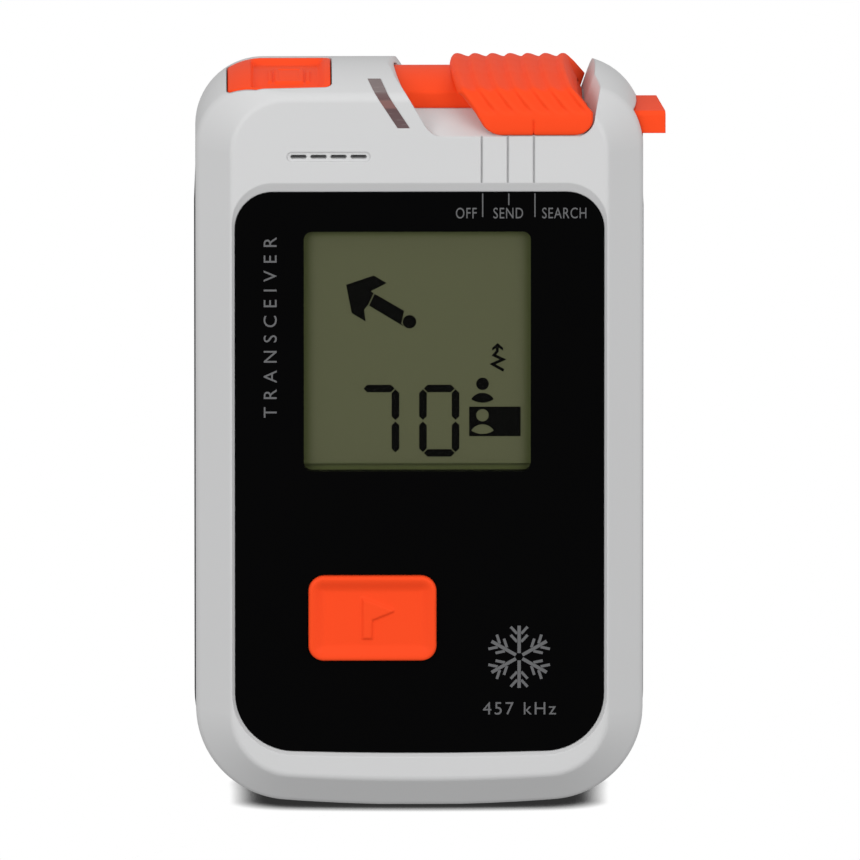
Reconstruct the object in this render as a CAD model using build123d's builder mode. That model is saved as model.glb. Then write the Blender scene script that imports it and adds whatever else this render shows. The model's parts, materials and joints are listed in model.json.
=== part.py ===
from build123d import *
import math
import os

# Avalanche transceiver. Millimetres. X to the right of someone facing the display, Y towards the back,
# Z up. The origin is the centre of the foot face, where the body stands on its lower end.

# ---- driving dimensions -----------------------------------------------------------------------------

HALF_WIDTH = 33.0          # body, half of its width
HALF_DEPTH = 12.0          # body, half of its thickness
TOP = 110.5                # highest point of the crowned top
WALL = 1.8

CROWN_R = 36.0             # top end, arc seen from the side
CROWN_Y = 1.5
CROWN_Z = TOP - CROWN_R
FOOT_R = 246.0             # lower end, arc seen from the front
FOOT_FLAT = 0.07           # cut off the foot arc to stand on
TOP_CORNER_R = 10.0
FOOT_CORNER_R = 14.0

RIDGE_HALF_WIDTH = 27.7    # outline of the flat front, inside the 45 degree bevel
RIDGE_TOP = 107.4
RIDGE_FOOT = 4.9
RIDGE_FOOT_R = 300.0

SPLIT_Y = 5.0              # the two housings meet here
CAP_Z = 97.0               # above this the front housing takes the whole thickness
REAR_PROUD = 0.2           # the rear housing's sides stand out this much

PANEL_HALF_WIDTH = 27.15
PANEL_FOOT = 8.85
PANEL_TOP = 93.3
PANEL_FRONT = -11.3
PANEL_BACK = -9.9
PANEL_SLOPE_TOP = 94.9     # upper end of the sloped band above the panel
FRONT_WALL_BACK = -8.3     # inside of the front wall

WINDOW_X = (-17.05, 16.4)
WINDOW_Z = (51.3, 87.4)
LCD_X = (-18.6, 18.0)
LCD_Z = (49.6, 88.6)
LCD_Y = (-9.8, -8.9, -7.9) # front glass, rear glass, back
LEDGE = 2.6                # strip of bare glass at the foot of the display cell, for its contacts

BUTTON_X = -6.95
BUTTON_Z = 29.2
BUTTON_W = 18.9
BUTTON_H = 12.8
BUTTON_R = 2.4
BUTTON_FRONT = -12.1
BUTTON_GAP = 0.15
BUTTON_FLANGE = 1.2        # width of the flange that keeps it in
BUTTON_FLANGE_Y = (-8.0, -7.4)
BUTTON_STEM_BACK = -7.2    # end of the stem, against the switch dome

CHANNEL_Y = (-6.3, 6.7)    # slider channel through the top
CHANNEL_FLOOR = 100.8
CHANNEL_LEFT = -12.0
CARRIAGE_Y = (-6.0, 6.4)
CARRIAGE_BOTTOM = 101.1
CARRIAGE_LEFT = -4.0
CARRIAGE_RIGHT = 36.3
TAB_TOP = 104.4
BAR_TOP = 109.55           # crowned top of the carriage's tall part
BAR_CROWN_R = 15.0
BAR_CROWN_Y = 1.8
BAR_END = 23.4             # the tall part ends here, inside the grip
MAGNET = (13.0, 3.7, CARRIAGE_BOTTOM + 1)
POSITIONS_X = (9.16, 13.0, 16.84)

RECESS_FLOOR_FRONT = 101.8
RECESS_FLOOR = 105.0
HORN_FOOT_X = 25.85        # inner side of the horn, to the right of the recess
HORN_TOP_X = 26.9
HORN_TOP = 109.75
HORN_BACK_X = 24.2         # inner side of the horn at the back, at the recess floor
HORN_BACK_LEAN = 0.35      # sideways per height
TOWER_FOOT_X = 1.8         # right side of the tower, to the left of the recess
TOWER_TOP_X = -3.3
TOWER_FLARE = 0.1333       # its right side turns to the left towards the bar, sideways per depth
CAVITY_TOP = 99.3

LATCH_X = (-28.4, -12.9)
LATCH_BACK = 5.4
LATCH_FRONT = (-8.0, -9.9, -9.45)  # front edge of its window at the left, at LATCH_BEND_X, at the right
LATCH_BEND_X = -24.0
LATCH_GAP = 0.15
STEM = (-20.5, -1.0)       # post below the latch
LATCH_UNDER = 104.4
LATCH_FLOOR = 100.5

STRIP_PATH = ((-8.2, 111.5), (-5.65, 108.2), (-1.61, 102.0))
STRIP_FOOT = 103.1
STRIP_WIDTH = 1.5
STRIP_BACK = -6.8
STRIP_DEPTH = 1.6
LAMP_X = (-5.4, -2.4)
LAMP_Z = (100.2, 103.6)

SPEAKER_X = -13.4
SPEAKER_SLOT_Z = 98.8

CELL_R = 5.25              # AAA cells
CELL_LENGTH = 44.5
CELL_X = (-21.6, -10.7, 0.2)
CELL_Y = 4.6
CELL_FOOT = 47.9
TRAY_X = (-27.4, 6.0)      # room inside the battery tray
TRAY_Z = (44.2, 93.4)
TRAY_WALL = 1.2
TRAY_FRONT = -2.0
SEAL_X = (TRAY_X[0] + 0.2, TRAY_X[1] - 0.2)
SEAL_Z = (TRAY_Z[0] + 0.7, TRAY_Z[1] - 0.2)

DOOR_X = (-28.6, 7.0)
DOOR_TOP = 95.0
DOOR_GAP = 0.25
DOOR_INNER_Y = 10.2
HINGE_Y = 10.5
HINGE_Z = 42.6
BARREL_X = ((-28.4, -14.25), (-5.75, 6.8))
BARREL_R = 1.5
PIN_R = 0.8

LONG_ROD_X = 21.4          # antennas
CROSS_ROD_Z = 31.0
CROSS_ROD_X = -4.5
ROD_Y = 2.0
SHORT_ROD = (11.2, -0.5, 20.0)
SHORT_ROD_R = 2.5
ROD_R = 4.0
COIL_R = 4.75

BOSSES = ((-25.0, 10.0), (25.0, 10.0), (-28.7, 37.0), (28.7, 37.0), (12.5, 91.3), (28.7, 91.3))
SCREW_R = 1.0

BOARD_Y = (-6.2, -5.0)
# Centre in X and Z, width, height and thickness of each larger chip.
CHIPS = ((-8, 66, 10, 10, 1.2), (13, 48, 6, 6, 0.9), (-20, 50, 5, 4, 1.1),
         (-16, 24, 7, 5, 1.6), (4, 80, 5, 3, 1.3))

LANYARD_X = 6.0            # half width of the pocket in the back
LANYARD_Z = (13.5, 24.5)
LANYARD_FLOOR_Y = 4.6
LANYARD_BAR_R = 1.0
LANYARD_BAR_Y = 10.4


# ---- helpers ----------------------------------------------------------------------------------------

def facing(y):
    """Plane that faces the front, at the given Y."""
    return Plane.XZ.offset(-y)


def block(x, y, z, mode=Mode.ADD):
    """Box over three ranges, in the current part."""
    with Locations((sum(x) / 2, sum(y) / 2, sum(z) / 2)):
        Box(x[1] - x[0], y[1] - y[0], z[1] - z[0], mode=mode)


def rod(centre, radius, height, turn=(0, 0, 0), mode=Mode.ADD):
    """Round bar centred on a point, along Z unless it is turned, in the current part."""
    with Locations(Location(centre, turn)):
        Cylinder(radius, height, mode=mode)


ALONG_X = (0, 90, 0)
ALONG_Y = (90, 0, 0)


def save(piece, name):
    """Name a finished piece and write its file."""
    piece.part.label = name
    export_step(piece.part, f"parts/{name}.step")


def crown(y, radius=CROWN_R):
    """Height of the crowned top, or of a surface parallel to it, at the given Y."""
    return CROWN_Z + math.sqrt(radius ** 2 - (y - CROWN_Y) ** 2)


def bar_crown(y, gap=0.0):
    """Height of the carriage's crowned top, or of a surface parallel to it, at the given Y."""
    return BAR_TOP - BAR_CROWN_R + math.sqrt((BAR_CROWN_R + gap) ** 2 - (y - BAR_CROWN_Y) ** 2)


def bar_section(x, y, foot, gap=0.0):
    """Section of the carriage's tall part, or of the tunnel round it, as a face at the given X."""
    with BuildSketch(Plane.YZ.offset(x)) as section:
        with BuildLine():
            front = (y[0], bar_crown(y[0], gap))
            back = (y[1], bar_crown(y[1], gap))
            ThreePointArc(front, (BAR_CROWN_Y, BAR_TOP + gap), back)
            Polyline(back, (y[1], foot), (y[0], foot), front)
        make_face()
    return section.sketch


def recess_outline(y, shift):
    """Outline of the grip's recess at the given Y, with the tower's side moved sideways."""
    top_x = TOWER_TOP_X + shift
    foot_x = TOWER_FOOT_X + shift
    foot = RECESS_FLOOR_FRONT - 0.05
    with BuildSketch(facing(y)) as outline:
        with BuildLine():
            Polyline((HORN_FOOT_X, 104.8), (HORN_TOP_X, HORN_TOP), (HORN_TOP_X + 2, HORN_TOP),
                     (HORN_TOP_X + 2, TOP + 1), (top_x - 3, TOP + 1), (top_x - 3, TOP + 0.02),
                     (top_x, TOP + 0.02), (foot_x, foot), (23.0, foot))
            ThreePointArc((23.0, foot), (25.0, 102.75), (HORN_FOOT_X, 104.8))
        make_face()
        fillet(outline.vertices().filter_by(lambda v: abs(v.X - top_x) < 0.01), 1.8)
        fillet(outline.vertices().filter_by(lambda v: abs(v.X - HORN_TOP_X) < 0.01), 0.8)
        fillet(outline.vertices().filter_by(lambda v: abs(v.X - foot_x) < 0.01), 3.4)
    return outline.sketch


def horn_limit(z, gap, far):
    """Plan of the room beside the horn's inner side, which flares towards the front, at a height."""
    x = HORN_BACK_X + HORN_BACK_LEAN * (z - RECESS_FLOOR) - gap
    with BuildSketch(Plane.XY.offset(z)) as plan:
        with BuildLine():
            Polyline((far, -14), (x + 3.1, -14), (x + 2.5, -12), (x, -4), (x, 14), (far, 14), (far, -14))
        make_face()
    return plan.sketch


def body_form(inset=0.0, half_width=HALF_WIDTH):
    """Crowned box with rounded corners, the body's outline, or the same form drawn inwards."""
    w = half_width - inset
    front = -HALF_DEPTH + inset
    back = HALF_DEPTH - inset
    radius = CROWN_R - inset
    with BuildPart() as form:
        with BuildSketch(Plane.YZ.offset(-w)):
            with BuildLine():
                front_top = (front, crown(front, radius))
                back_top = (back, crown(back, radius))
                ThreePointArc(front_top, (CROWN_Y, CROWN_Z + radius), back_top)
                Polyline(back_top, (back, -5), (front, -5), front_top)
            make_face()
        extrude(amount=2 * w)
        foot_r = FOOT_R - inset
        foot_z = FOOT_R - FOOT_FLAT
        reach = w + 2
        flat = math.sqrt(foot_r ** 2 - (foot_z - inset) ** 2)
        middle = (flat + reach) / 2
        middle_z = foot_z - math.sqrt(foot_r ** 2 - middle ** 2)
        end_z = foot_z - math.sqrt(foot_r ** 2 - reach ** 2)
        with BuildSketch(facing(HALF_DEPTH + 1)) as outline:
            with BuildLine():
                Line((-flat, inset), (flat, inset))
                ThreePointArc((flat, inset), (middle, middle_z), (reach, end_z))
                Polyline((reach, end_z), (reach, 200), (-reach, 200), (-reach, end_z))
                ThreePointArc((-reach, end_z), (-middle, middle_z), (-flat, inset))
            make_face()
        extrude(amount=2 * HALF_DEPTH + 2, mode=Mode.INTERSECT)
        corners = form.edges().filter_by(lambda e: abs(abs(e.center().X) - w) < 0.01)
        corners = corners.filter_by(lambda e: abs(e.center().Y) < back - 1)
        fillet(corners.filter_by(lambda e: e.center().Z > 90), TOP_CORNER_R - 0.6 * inset)
        fillet(corners.filter_by(lambda e: e.center().Z < 20), FOOT_CORNER_R - 0.6 * inset)
    return form.part


def bevel_envelope(shift=0.0):
    """Space inside the 45 degree bevel round the front, moved back by shift."""
    with BuildPart() as envelope:
        with BuildSketch(facing(-HALF_DEPTH + shift)) as ridge:
            with BuildLine():
                w = RIDGE_HALF_WIDTH
                end_z = RIDGE_FOOT + RIDGE_FOOT_R - math.sqrt(RIDGE_FOOT_R ** 2 - w ** 2)
                ThreePointArc((-w, end_z), (0, RIDGE_FOOT), (w, end_z))
                Polyline((w, end_z), (w, RIDGE_TOP), (-w, RIDGE_TOP), (-w, end_z))
            make_face()
            fillet(ridge.vertices().group_by(Axis.Y)[0], 9)
            fillet(ridge.vertices().group_by(Axis.Y)[-1], 8)
        extrude(amount=-8, taper=-45)
        block((-45, 45), (-HALF_DEPTH + shift + 8, 30), (-15, 125))
    return envelope.part


def panel_face(y, grow=0.0, top=PANEL_TOP):
    """Outline of the front panel, with a slightly crowned lower edge, as a face at the given Y."""
    w = PANEL_HALF_WIDTH + grow
    foot = PANEL_FOOT - grow
    with BuildSketch(facing(y)) as outline:
        with BuildLine():
            ThreePointArc((-w, foot + 0.6), (0, foot), (w, foot + 0.6))
            Polyline((w, foot + 0.6), (w, top + grow), (-w, top + grow), (-w, foot + 0.6))
        make_face()
        fillet(outline.vertices().group_by(Axis.Y)[0], 8.7 + grow)
        fillet(outline.vertices().group_by(Axis.Y)[-1], 5.5 + grow)
    return outline.sketch


def rounded_prism(x, z, radius, y, mode=Mode.ADD):
    """Bar with a rounded rectangular outline seen from the front, in the current part."""
    with BuildSketch(facing(y[1])) as outline:
        with Locations((sum(x) / 2, sum(z) / 2)):
            RectangleRounded(x[1] - x[0], z[1] - z[0], radius)
    extrude(outline.sketch, amount=y[1] - y[0], mode=mode)


def button_range(grow):
    """Ranges in X and Z of the flag button, grown on every side."""
    return ((BUTTON_X - BUTTON_W / 2 - grow, BUTTON_X + BUTTON_W / 2 + grow),
            (BUTTON_Z - BUTTON_H / 2 - grow, BUTTON_Z + BUTTON_H / 2 + grow))


def latch_outline(z, gap=0.0):
    """Outline of the latch's window, or of the latch in it, as a face at the given height."""
    left, right = LATCH_X[0] + gap, LATCH_X[1] - gap
    front = [y + gap for y in LATCH_FRONT]
    with BuildSketch(Plane.XY.offset(z)) as outline:
        with BuildLine():
            Polyline((left, front[0]), (LATCH_BEND_X, front[1]), (right, front[2]), (right, LATCH_BACK - gap),
                     (left, LATCH_BACK - gap), (left, front[0]))
        make_face()
        fillet(outline.vertices().filter_by(lambda v: abs(v.X - LATCH_BEND_X) > 1), 1.2 - gap)
    return outline.sketch


# ---- shared forms -----------------------------------------------------------------------------------

with BuildPart() as outer:
    add(body_form())
    add(bevel_envelope(), mode=Mode.INTERSECT)
    fillet(outer.edges().filter_by(lambda e: -11.5 < e.center().Y < -6.5 and e.length > 1), 2.0)
    fillet(outer.edges().filter_by(lambda e: e.center().Y < -HALF_DEPTH + 0.01), 1.2)
    fillet(outer.edges().filter_by(lambda e: e.center().Y > HALF_DEPTH - 0.01), 2.5)

with BuildPart() as rear_outer:
    add(body_form(half_width=HALF_WIDTH + REAR_PROUD))
    fillet(rear_outer.edges().filter_by(lambda e: e.center().Y > HALF_DEPTH - 0.01), 2.5)
    block((-40, 40), (-20, SPLIT_Y), (-5, 120), mode=Mode.SUBTRACT)
    block((-40, 40), (-20, 20), (CAP_Z, 120), mode=Mode.SUBTRACT)
    shoulder = HALF_WIDTH + REAR_PROUD
    with BuildSketch(facing(20)) as shoulders:
        with BuildLine():
            Polyline((HALF_WIDTH, CAP_Z), (HALF_WIDTH, CAP_Z - 4), (shoulder, CAP_Z - 9),
                     (shoulder + 1, CAP_Z - 9),
                     (shoulder + 1, CAP_Z), (HALF_WIDTH, CAP_Z))
        make_face()
        mirror(about=Plane.YZ)
    extrude(amount=30, mode=Mode.SUBTRACT)

with BuildPart() as cavity:
    add(body_form(inset=WALL))
    add(bevel_envelope(2.55), mode=Mode.INTERSECT)
    block((-40, 40), (-20, FRONT_WALL_BACK), (-5, 120), mode=Mode.SUBTRACT)
    block((-40, 40), (-20, 20), (CAVITY_TOP, 120), mode=Mode.SUBTRACT)

with BuildPart() as latch_chamber:
    add(body_form(inset=WALL))
    add(bevel_envelope(1.9), mode=Mode.INTERSECT)
    block((-40, 40), (-20, 20), (-5, LATCH_FLOOR), mode=Mode.SUBTRACT)
    block((LATCH_X[1] + 0.1, 40), (-20, 20), (-5, 120), mode=Mode.SUBTRACT)

# The light strip follows the surface: steep over the top face, then leaning outwards down the front.
with BuildPart() as strip:
    with BuildSketch(facing(STRIP_BACK)) as strip_outline:
        with BuildLine():
            Polyline(*STRIP_PATH)
        trace(line_width=STRIP_WIDTH)
    extrude(amount=8)
    add(outer.part, mode=Mode.INTERSECT)
    add(body_form(STRIP_DEPTH), mode=Mode.SUBTRACT)
    block((-40, 40), (-20, 20), (90, STRIP_FOOT), mode=Mode.SUBTRACT)

# ---- housings ---------------------------------------------------------------------------------------

with BuildPart() as slider_room:
    # Recess for the grip: slanted side of the tower at its left, horn at its right.
    back_shift = TOWER_FLARE * (-HALF_DEPTH - CHANNEL_Y[0])
    front_shift = TOWER_FLARE * 2
    extrude(recess_outline(14, back_shift), amount=14 - CHANNEL_Y[0])
    loft([recess_outline(CHANNEL_Y[0], back_shift).face(), recess_outline(-14, front_shift).face()])
    loft([horn_limit(99, 0, -10).face(), horn_limit(113, 0, -10).face()], mode=Mode.INTERSECT)
    # The floor rises from the front edge to the channel and falls again behind it.
    with BuildSketch(Plane.YZ.offset(-10)) as ramp:
        with BuildLine():
            Polyline((-14, 99), (-14, 101.3), (-HALF_DEPTH, RECESS_FLOOR_FRONT), (CHANNEL_Y[0], RECESS_FLOOR),
                     (CHANNEL_Y[1], RECESS_FLOOR), (14, 103.6), (14, 99), (-14, 99))
        make_face()
    extrude(amount=50, mode=Mode.SUBTRACT)
    # Channel for the carriage: tunnel below the tower, open trough, slot through the horn.
    extrude(bar_section(CHANNEL_LEFT, CHANNEL_Y, CHANNEL_FLOOR, 0.3), amount=8 - CHANNEL_LEFT)
    block((0, BAR_END + 0.4), CHANNEL_Y, (CHANNEL_FLOOR, RECESS_FLOOR + 0.2))
    block((0, 40), CHANNEL_Y, (CHANNEL_FLOOR, TAB_TOP + 0.3))

with BuildPart() as front_housing:
    add(outer.part)
    block((-40, 40), (SPLIT_Y, 20), (-5, CAP_Z), mode=Mode.SUBTRACT)
    add(cavity.part, mode=Mode.SUBTRACT)
    add(latch_chamber.part, mode=Mode.SUBTRACT)
    add(slider_room.part, mode=Mode.SUBTRACT)
    # Pocket of the front panel, with a wide sloped band above it and a narrow lip at its sides.
    extrude(panel_face(PANEL_BACK, 0.1), amount=5, mode=Mode.SUBTRACT)
    loft([panel_face(PANEL_FRONT + 0.1, 0.12).face(),
          panel_face(-HALF_DEPTH - 0.02, 0.55, PANEL_SLOPE_TOP - 0.55).face()], mode=Mode.SUBTRACT)
    # Openings behind the panel: display cell, flag button.
    block((LCD_X[0] - 0.2, LCD_X[1] + 0.2), (-13, -5), (LCD_Z[0] - 0.2, LCD_Z[1] + 0.2), mode=Mode.SUBTRACT)
    rounded_prism(*button_range(BUTTON_GAP), BUTTON_R + BUTTON_GAP, (-13, -5), mode=Mode.SUBTRACT)
    # Window of the battery latch in the top face.
    extrude(latch_outline(LATCH_FLOOR + 1), amount=12, mode=Mode.SUBTRACT)
    # Seat of the light strip, room for its lamp.
    add(strip.part, mode=Mode.SUBTRACT)
    block((LAMP_X[0] - 0.6, LAMP_X[1] + 0.6), (-10.4, -7.9), (CAVITY_TOP - 0.5, LAMP_Z[1] + 0.6),
          mode=Mode.SUBTRACT)
    # Sound slots in a shallow oval, and the chamber behind them.
    with BuildSketch(facing(-HALF_DEPTH + 0.15)) as oval:
        with Locations((SPEAKER_X, SPEAKER_SLOT_Z)):
            SlotOverall(12.3, 1.4)
    extrude(amount=2, mode=Mode.SUBTRACT)
    with BuildSketch(facing(-8.0)) as slots:
        with Locations((SPEAKER_X, SPEAKER_SLOT_Z)):
            with GridLocations(2.95, 1, 4, 1):
                SlotOverall(2.4, 0.55)
    extrude(amount=5, mode=Mode.SUBTRACT)
    block((SPEAKER_X - 7, SPEAKER_X + 7), (-8.9, -8), (90.5, CAVITY_TOP - 0.2), mode=Mode.SUBTRACT)
    # Grooves that mark the slider's three positions.
    for position in POSITIONS_X:
        block((position - 0.12, position + 0.12), (-13, -HALF_DEPTH + 0.25), (PANEL_SLOPE_TOP, 103),
              mode=Mode.SUBTRACT)
    # Bosses for the housing screws.
    for x, z in BOSSES:
        rod((x, (SPLIT_Y + FRONT_WALL_BACK) / 2, z), 2.3, SPLIT_Y - FRONT_WALL_BACK, ALONG_Y)
        rod((x, 0, z), SCREW_R, 10.2, ALONG_Y, mode=Mode.SUBTRACT)
    # Trim the bosses to the outside form.
    add(outer.part, mode=Mode.INTERSECT)
    # Slot for the latch's catch, pocket for the detent spring, groove for the seal.
    block((-22, -17), (6.8, 8.2), (CAP_Z - 1, LATCH_FLOOR + 1), mode=Mode.SUBTRACT)
    block((3, 23), (-1.4, 1.4), (CHANNEL_FLOOR - 0.4, CHANNEL_FLOOR + 0.1), mode=Mode.SUBTRACT)


def seal_ring(y0, y1):
    """U-shaped strip in the middle of the side walls, open at the top."""
    with BuildPart() as ring:
        add(body_form(0.5))
        add(body_form(1.2), mode=Mode.SUBTRACT)
        block((-40, 40), (-20, y0), (-5, 120), mode=Mode.SUBTRACT)
        block((-40, 40), (y1, 20), (-5, 120), mode=Mode.SUBTRACT)
        block((-40, 40), (-20, 20), (CAP_Z - 1, 120), mode=Mode.SUBTRACT)
    return ring.part


with BuildPart() as housing_seal:
    add(seal_ring(SPLIT_Y - 0.8, SPLIT_Y))
save(housing_seal, "housing_seal")

with BuildPart() as front_shell:
    add(front_housing.part)
    add(housing_seal.part, mode=Mode.SUBTRACT)
save(front_shell, "front_housing")

with BuildPart() as rear_housing:
    add(rear_outer.part)
    add(cavity.part, mode=Mode.SUBTRACT)
    # Battery tray.
    block((TRAY_X[0] - TRAY_WALL, TRAY_X[1] + TRAY_WALL), (TRAY_FRONT, DOOR_INNER_Y),
          (TRAY_Z[0] - TRAY_WALL, CAP_Z), mode=Mode.ADD)
    block((TRAY_X[0] - TRAY_WALL, TRAY_X[1] + TRAY_WALL), (7.6, 11), (HINGE_Z - 3.4, TRAY_Z[0]))
    block(TRAY_X, (TRAY_FRONT + TRAY_WALL, 20), TRAY_Z, mode=Mode.SUBTRACT)
    # Opening for the door, down to the hinge.
    block((DOOR_X[0] - DOOR_GAP, DOOR_X[1] + DOOR_GAP), (DOOR_INNER_Y - 0.02, 20),
          (HINGE_Z - 2.2, DOOR_TOP + DOOR_GAP), mode=Mode.SUBTRACT)
    rod(((DOOR_X[0] + DOOR_X[1]) / 2, HINGE_Y, HINGE_Z), BARREL_R + 0.4, DOOR_X[1] - DOOR_X[0] + 2 * DOOR_GAP,
        ALONG_X, mode=Mode.SUBTRACT)
    # Room for the door's catch lug above the cells.
    block((-23.2, -15.8), (5.2, 20), (TRAY_Z[1] - 1, 95.25), mode=Mode.SUBTRACT)
    block((-22, -17), (6.8, 8.2), (95, CAP_Z + 1), mode=Mode.SUBTRACT)
    # Hinge lug in the middle, bored for the pin.
    block((-14, -6), (HINGE_Y - 2.5, HINGE_Y), (HINGE_Z - 2.6, HINGE_Z + BARREL_R))
    block((-14, -6), (HINGE_Y - 1, HINGE_Y + BARREL_R), (HINGE_Z - 2.6, HINGE_Z))
    rod((-10, HINGE_Y, HINGE_Z), BARREL_R, 8, ALONG_X)
    rod((-10, HINGE_Y, HINGE_Z), PIN_R, 20, ALONG_X, mode=Mode.SUBTRACT)
    # Pocket in the back for the lanyard, behind its bar.
    block((-LANYARD_X - 1.2, LANYARD_X + 1.2), (LANYARD_FLOOR_Y - 1.2, 11),
          (LANYARD_Z[0] - 1.2, LANYARD_Z[1] + 1.2))
    rounded_prism((-LANYARD_X, LANYARD_X), LANYARD_Z, 2.0, (LANYARD_FLOOR_Y, 13), mode=Mode.SUBTRACT)
    rod((0, LANYARD_BAR_Y, sum(LANYARD_Z) / 2), LANYARD_BAR_R, 2 * LANYARD_X + 2, ALONG_X, mode=Mode.SUBTRACT)
    # Screw columns.
    for x, z in BOSSES:
        rod((x, (SPLIT_Y + 11) / 2, z), 2.6, 11 - SPLIT_Y, ALONG_Y)
    for x, z in BOSSES:
        rod((x, 13, z), 1.75, 10, ALONG_Y, mode=Mode.SUBTRACT)
        rod((x, 8, z), 1.15, 12, ALONG_Y, mode=Mode.SUBTRACT)
save(rear_housing, "rear_housing")


# ---- front: panel, display, button ------------------------------------------------------------------

with BuildPart() as front_panel:
    extrude(panel_face(PANEL_BACK), amount=PANEL_BACK - PANEL_FRONT)
    rounded_prism(WINDOW_X, WINDOW_Z, 1.2, (-13, -9), mode=Mode.SUBTRACT)
    rounded_prism(*button_range(BUTTON_GAP), BUTTON_R + BUTTON_GAP, (-13, -9), mode=Mode.SUBTRACT)
save(front_panel, "front_panel")

with BuildPart() as display_window:
    rounded_prism(WINDOW_X, WINDOW_Z, 1.2, (PANEL_FRONT, PANEL_BACK))
save(display_window, "display_window")

with BuildPart() as display_cell:
    block(LCD_X, LCD_Y[:2], (LCD_Z[0] + LEDGE, LCD_Z[1]))
    block(LCD_X, LCD_Y[1:], LCD_Z)
save(display_cell, "display_cell")

with BuildPart() as display_backlight:
    block(LCD_X, (LCD_Y[2], BOARD_Y[0]), (LCD_Z[0] + LEDGE, LCD_Z[1] - 1.6))
save(display_backlight, "display_backlight")

with BuildPart() as display_connector:
    block((LCD_X[0] + 1, LCD_X[1] - 1), (LCD_Y[2], BOARD_Y[0]), (LCD_Z[0] + 0.2, LCD_Z[0] + LEDGE - 0.3))
save(display_connector, "display_connector")


with BuildPart() as flag_button:
    rounded_prism(*button_range(0), BUTTON_R, (BUTTON_FRONT, BUTTON_FLANGE_Y[0]))
    fillet(flag_button.edges().group_by(Axis.Y)[0], 0.8)
    rounded_prism(*button_range(BUTTON_FLANGE), BUTTON_R + 1, BUTTON_FLANGE_Y)
    stem_length = BUTTON_STEM_BACK - BUTTON_FLANGE_Y[1]
    rod((BUTTON_X, BUTTON_STEM_BACK - stem_length / 2, BUTTON_Z), 1.8, stem_length, ALONG_Y)
save(flag_button, "flag_button")

with BuildPart() as button_seal:
    rounded_prism(*button_range(BUTTON_FLANGE), BUTTON_R + 1, (FRONT_WALL_BACK, BUTTON_FLANGE_Y[0]))
    rounded_prism(*button_range(BUTTON_GAP), BUTTON_R + BUTTON_GAP, (-9, -7), mode=Mode.SUBTRACT)
save(button_seal, "button_seal")

with BuildPart() as switch_dome:
    with Locations(Location((BUTTON_X, (BOARD_Y[0] + BUTTON_STEM_BACK) / 2, BUTTON_Z), ALONG_Y)):
        Cone(2.6, 1.5, BOARD_Y[0] - BUTTON_STEM_BACK)
save(switch_dome, "switch_dome")


# ---- slider -----------------------------------------------------------------------------------------

# The carriage's tall part ends on a slant, inside the grip.
with BuildPart() as bar:
    extrude(bar_section(CARRIAGE_LEFT, CARRIAGE_Y, CARRIAGE_BOTTOM), amount=BAR_END - CARRIAGE_LEFT)
    with BuildSketch(facing(10)) as bar_end:
        with BuildLine():
            Polyline((BAR_END - 2.55, TOP), (BAR_END, 106.9), (BAR_END + 1, 106.9), (BAR_END + 1, TOP),
                     (BAR_END - 2.55, TOP))
        make_face()
    extrude(amount=20, mode=Mode.SUBTRACT)

with BuildPart() as slide_carriage:
    add(bar.part)
    block((BAR_END, CARRIAGE_RIGHT), CARRIAGE_Y, (CARRIAGE_BOTTOM, TAB_TOP))
    # The end that shows beside the horn is cut slantwise.
    with BuildSketch(Plane.XY.offset(CARRIAGE_BOTTOM - 1)) as end_cut:
        with BuildLine():
            Polyline((CARRIAGE_RIGHT, CARRIAGE_Y[0]), (CARRIAGE_RIGHT - 1.3, CARRIAGE_Y[1]),
                     (CARRIAGE_RIGHT + 1, CARRIAGE_Y[1]), (CARRIAGE_RIGHT, CARRIAGE_Y[0]))
        make_face()
    extrude(amount=6, mode=Mode.SUBTRACT)
    fillet(slide_carriage.edges().filter_by(Axis.X).filter_by(lambda e: e.center().Z > TAB_TOP - 0.1), 0.7)
    for position in POSITIONS_X:
        notch_x = MAGNET[0] + position - POSITIONS_X[0]
        rod((notch_x, 0, CARRIAGE_BOTTOM), 0.7, 3, (90, 0, 0), mode=Mode.SUBTRACT)
    rod(MAGNET, 1.5, 2, mode=Mode.SUBTRACT)
save(slide_carriage, "slide_carriage")

with BuildPart() as slide_magnet:
    rod(MAGNET, 1.5, 2)
save(slide_magnet, "slide_magnet")

with BuildPart() as slide_grip:
    with BuildSketch(Plane.YZ.offset(3)) as saddle:
        with BuildLine():
            ThreePointArc((-11.2, 108.9), (3.0, TOP), (10.8, 109.8))
            Polyline((10.8, 109.8), (11.6, 109.0), (11.9, 107.0), (11.9, 104.4),
                     (CHANNEL_Y[1], RECESS_FLOOR + 0.3), (CARRIAGE_Y[0], RECESS_FLOOR + 0.45),
                     (-HALF_DEPTH, RECESS_FLOOR_FRONT + 0.3), (-12.4, 101.95), (-12.4, 104.5), (-12.0, 107.0),
                     (-11.2, 108.9))
        make_face()
    extrude(amount=25)
    with BuildSketch(facing(14)) as grip_front:
        with BuildLine():
            Polyline((4.3, 111), (8.3, 105.3), (9.5, 103.2), (10.25, 101.8), (24.5, 101.8), (25.6, 105.4),
                     (21.2, 111), (4.3, 111))
        make_face()
        fillet(grip_front.vertices().group_by(Axis.Y)[0], 2.2)
    extrude(amount=28, mode=Mode.INTERSECT)
    loft([horn_limit(99, 0.15, 0).face(), horn_limit(113, 0.15, 0).face()], mode=Mode.INTERSECT)
    add(bar.part, mode=Mode.SUBTRACT)
save(slide_grip, "slide_grip")

with BuildPart() as detent_spring:
    block((4, 22), (-1, 1), (CHANNEL_FLOOR - 0.35, CHANNEL_FLOOR - 0.15))
    block((MAGNET[0] - 0.4, MAGNET[0] + 0.4), (-1, 1), (CHANNEL_FLOOR - 0.2, CHANNEL_FLOOR + 0.2))
    rod((MAGNET[0], 0, CHANNEL_FLOOR + 0.2), 0.42, 2, (90, 0, 0))
save(detent_spring, "detent_spring")

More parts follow.
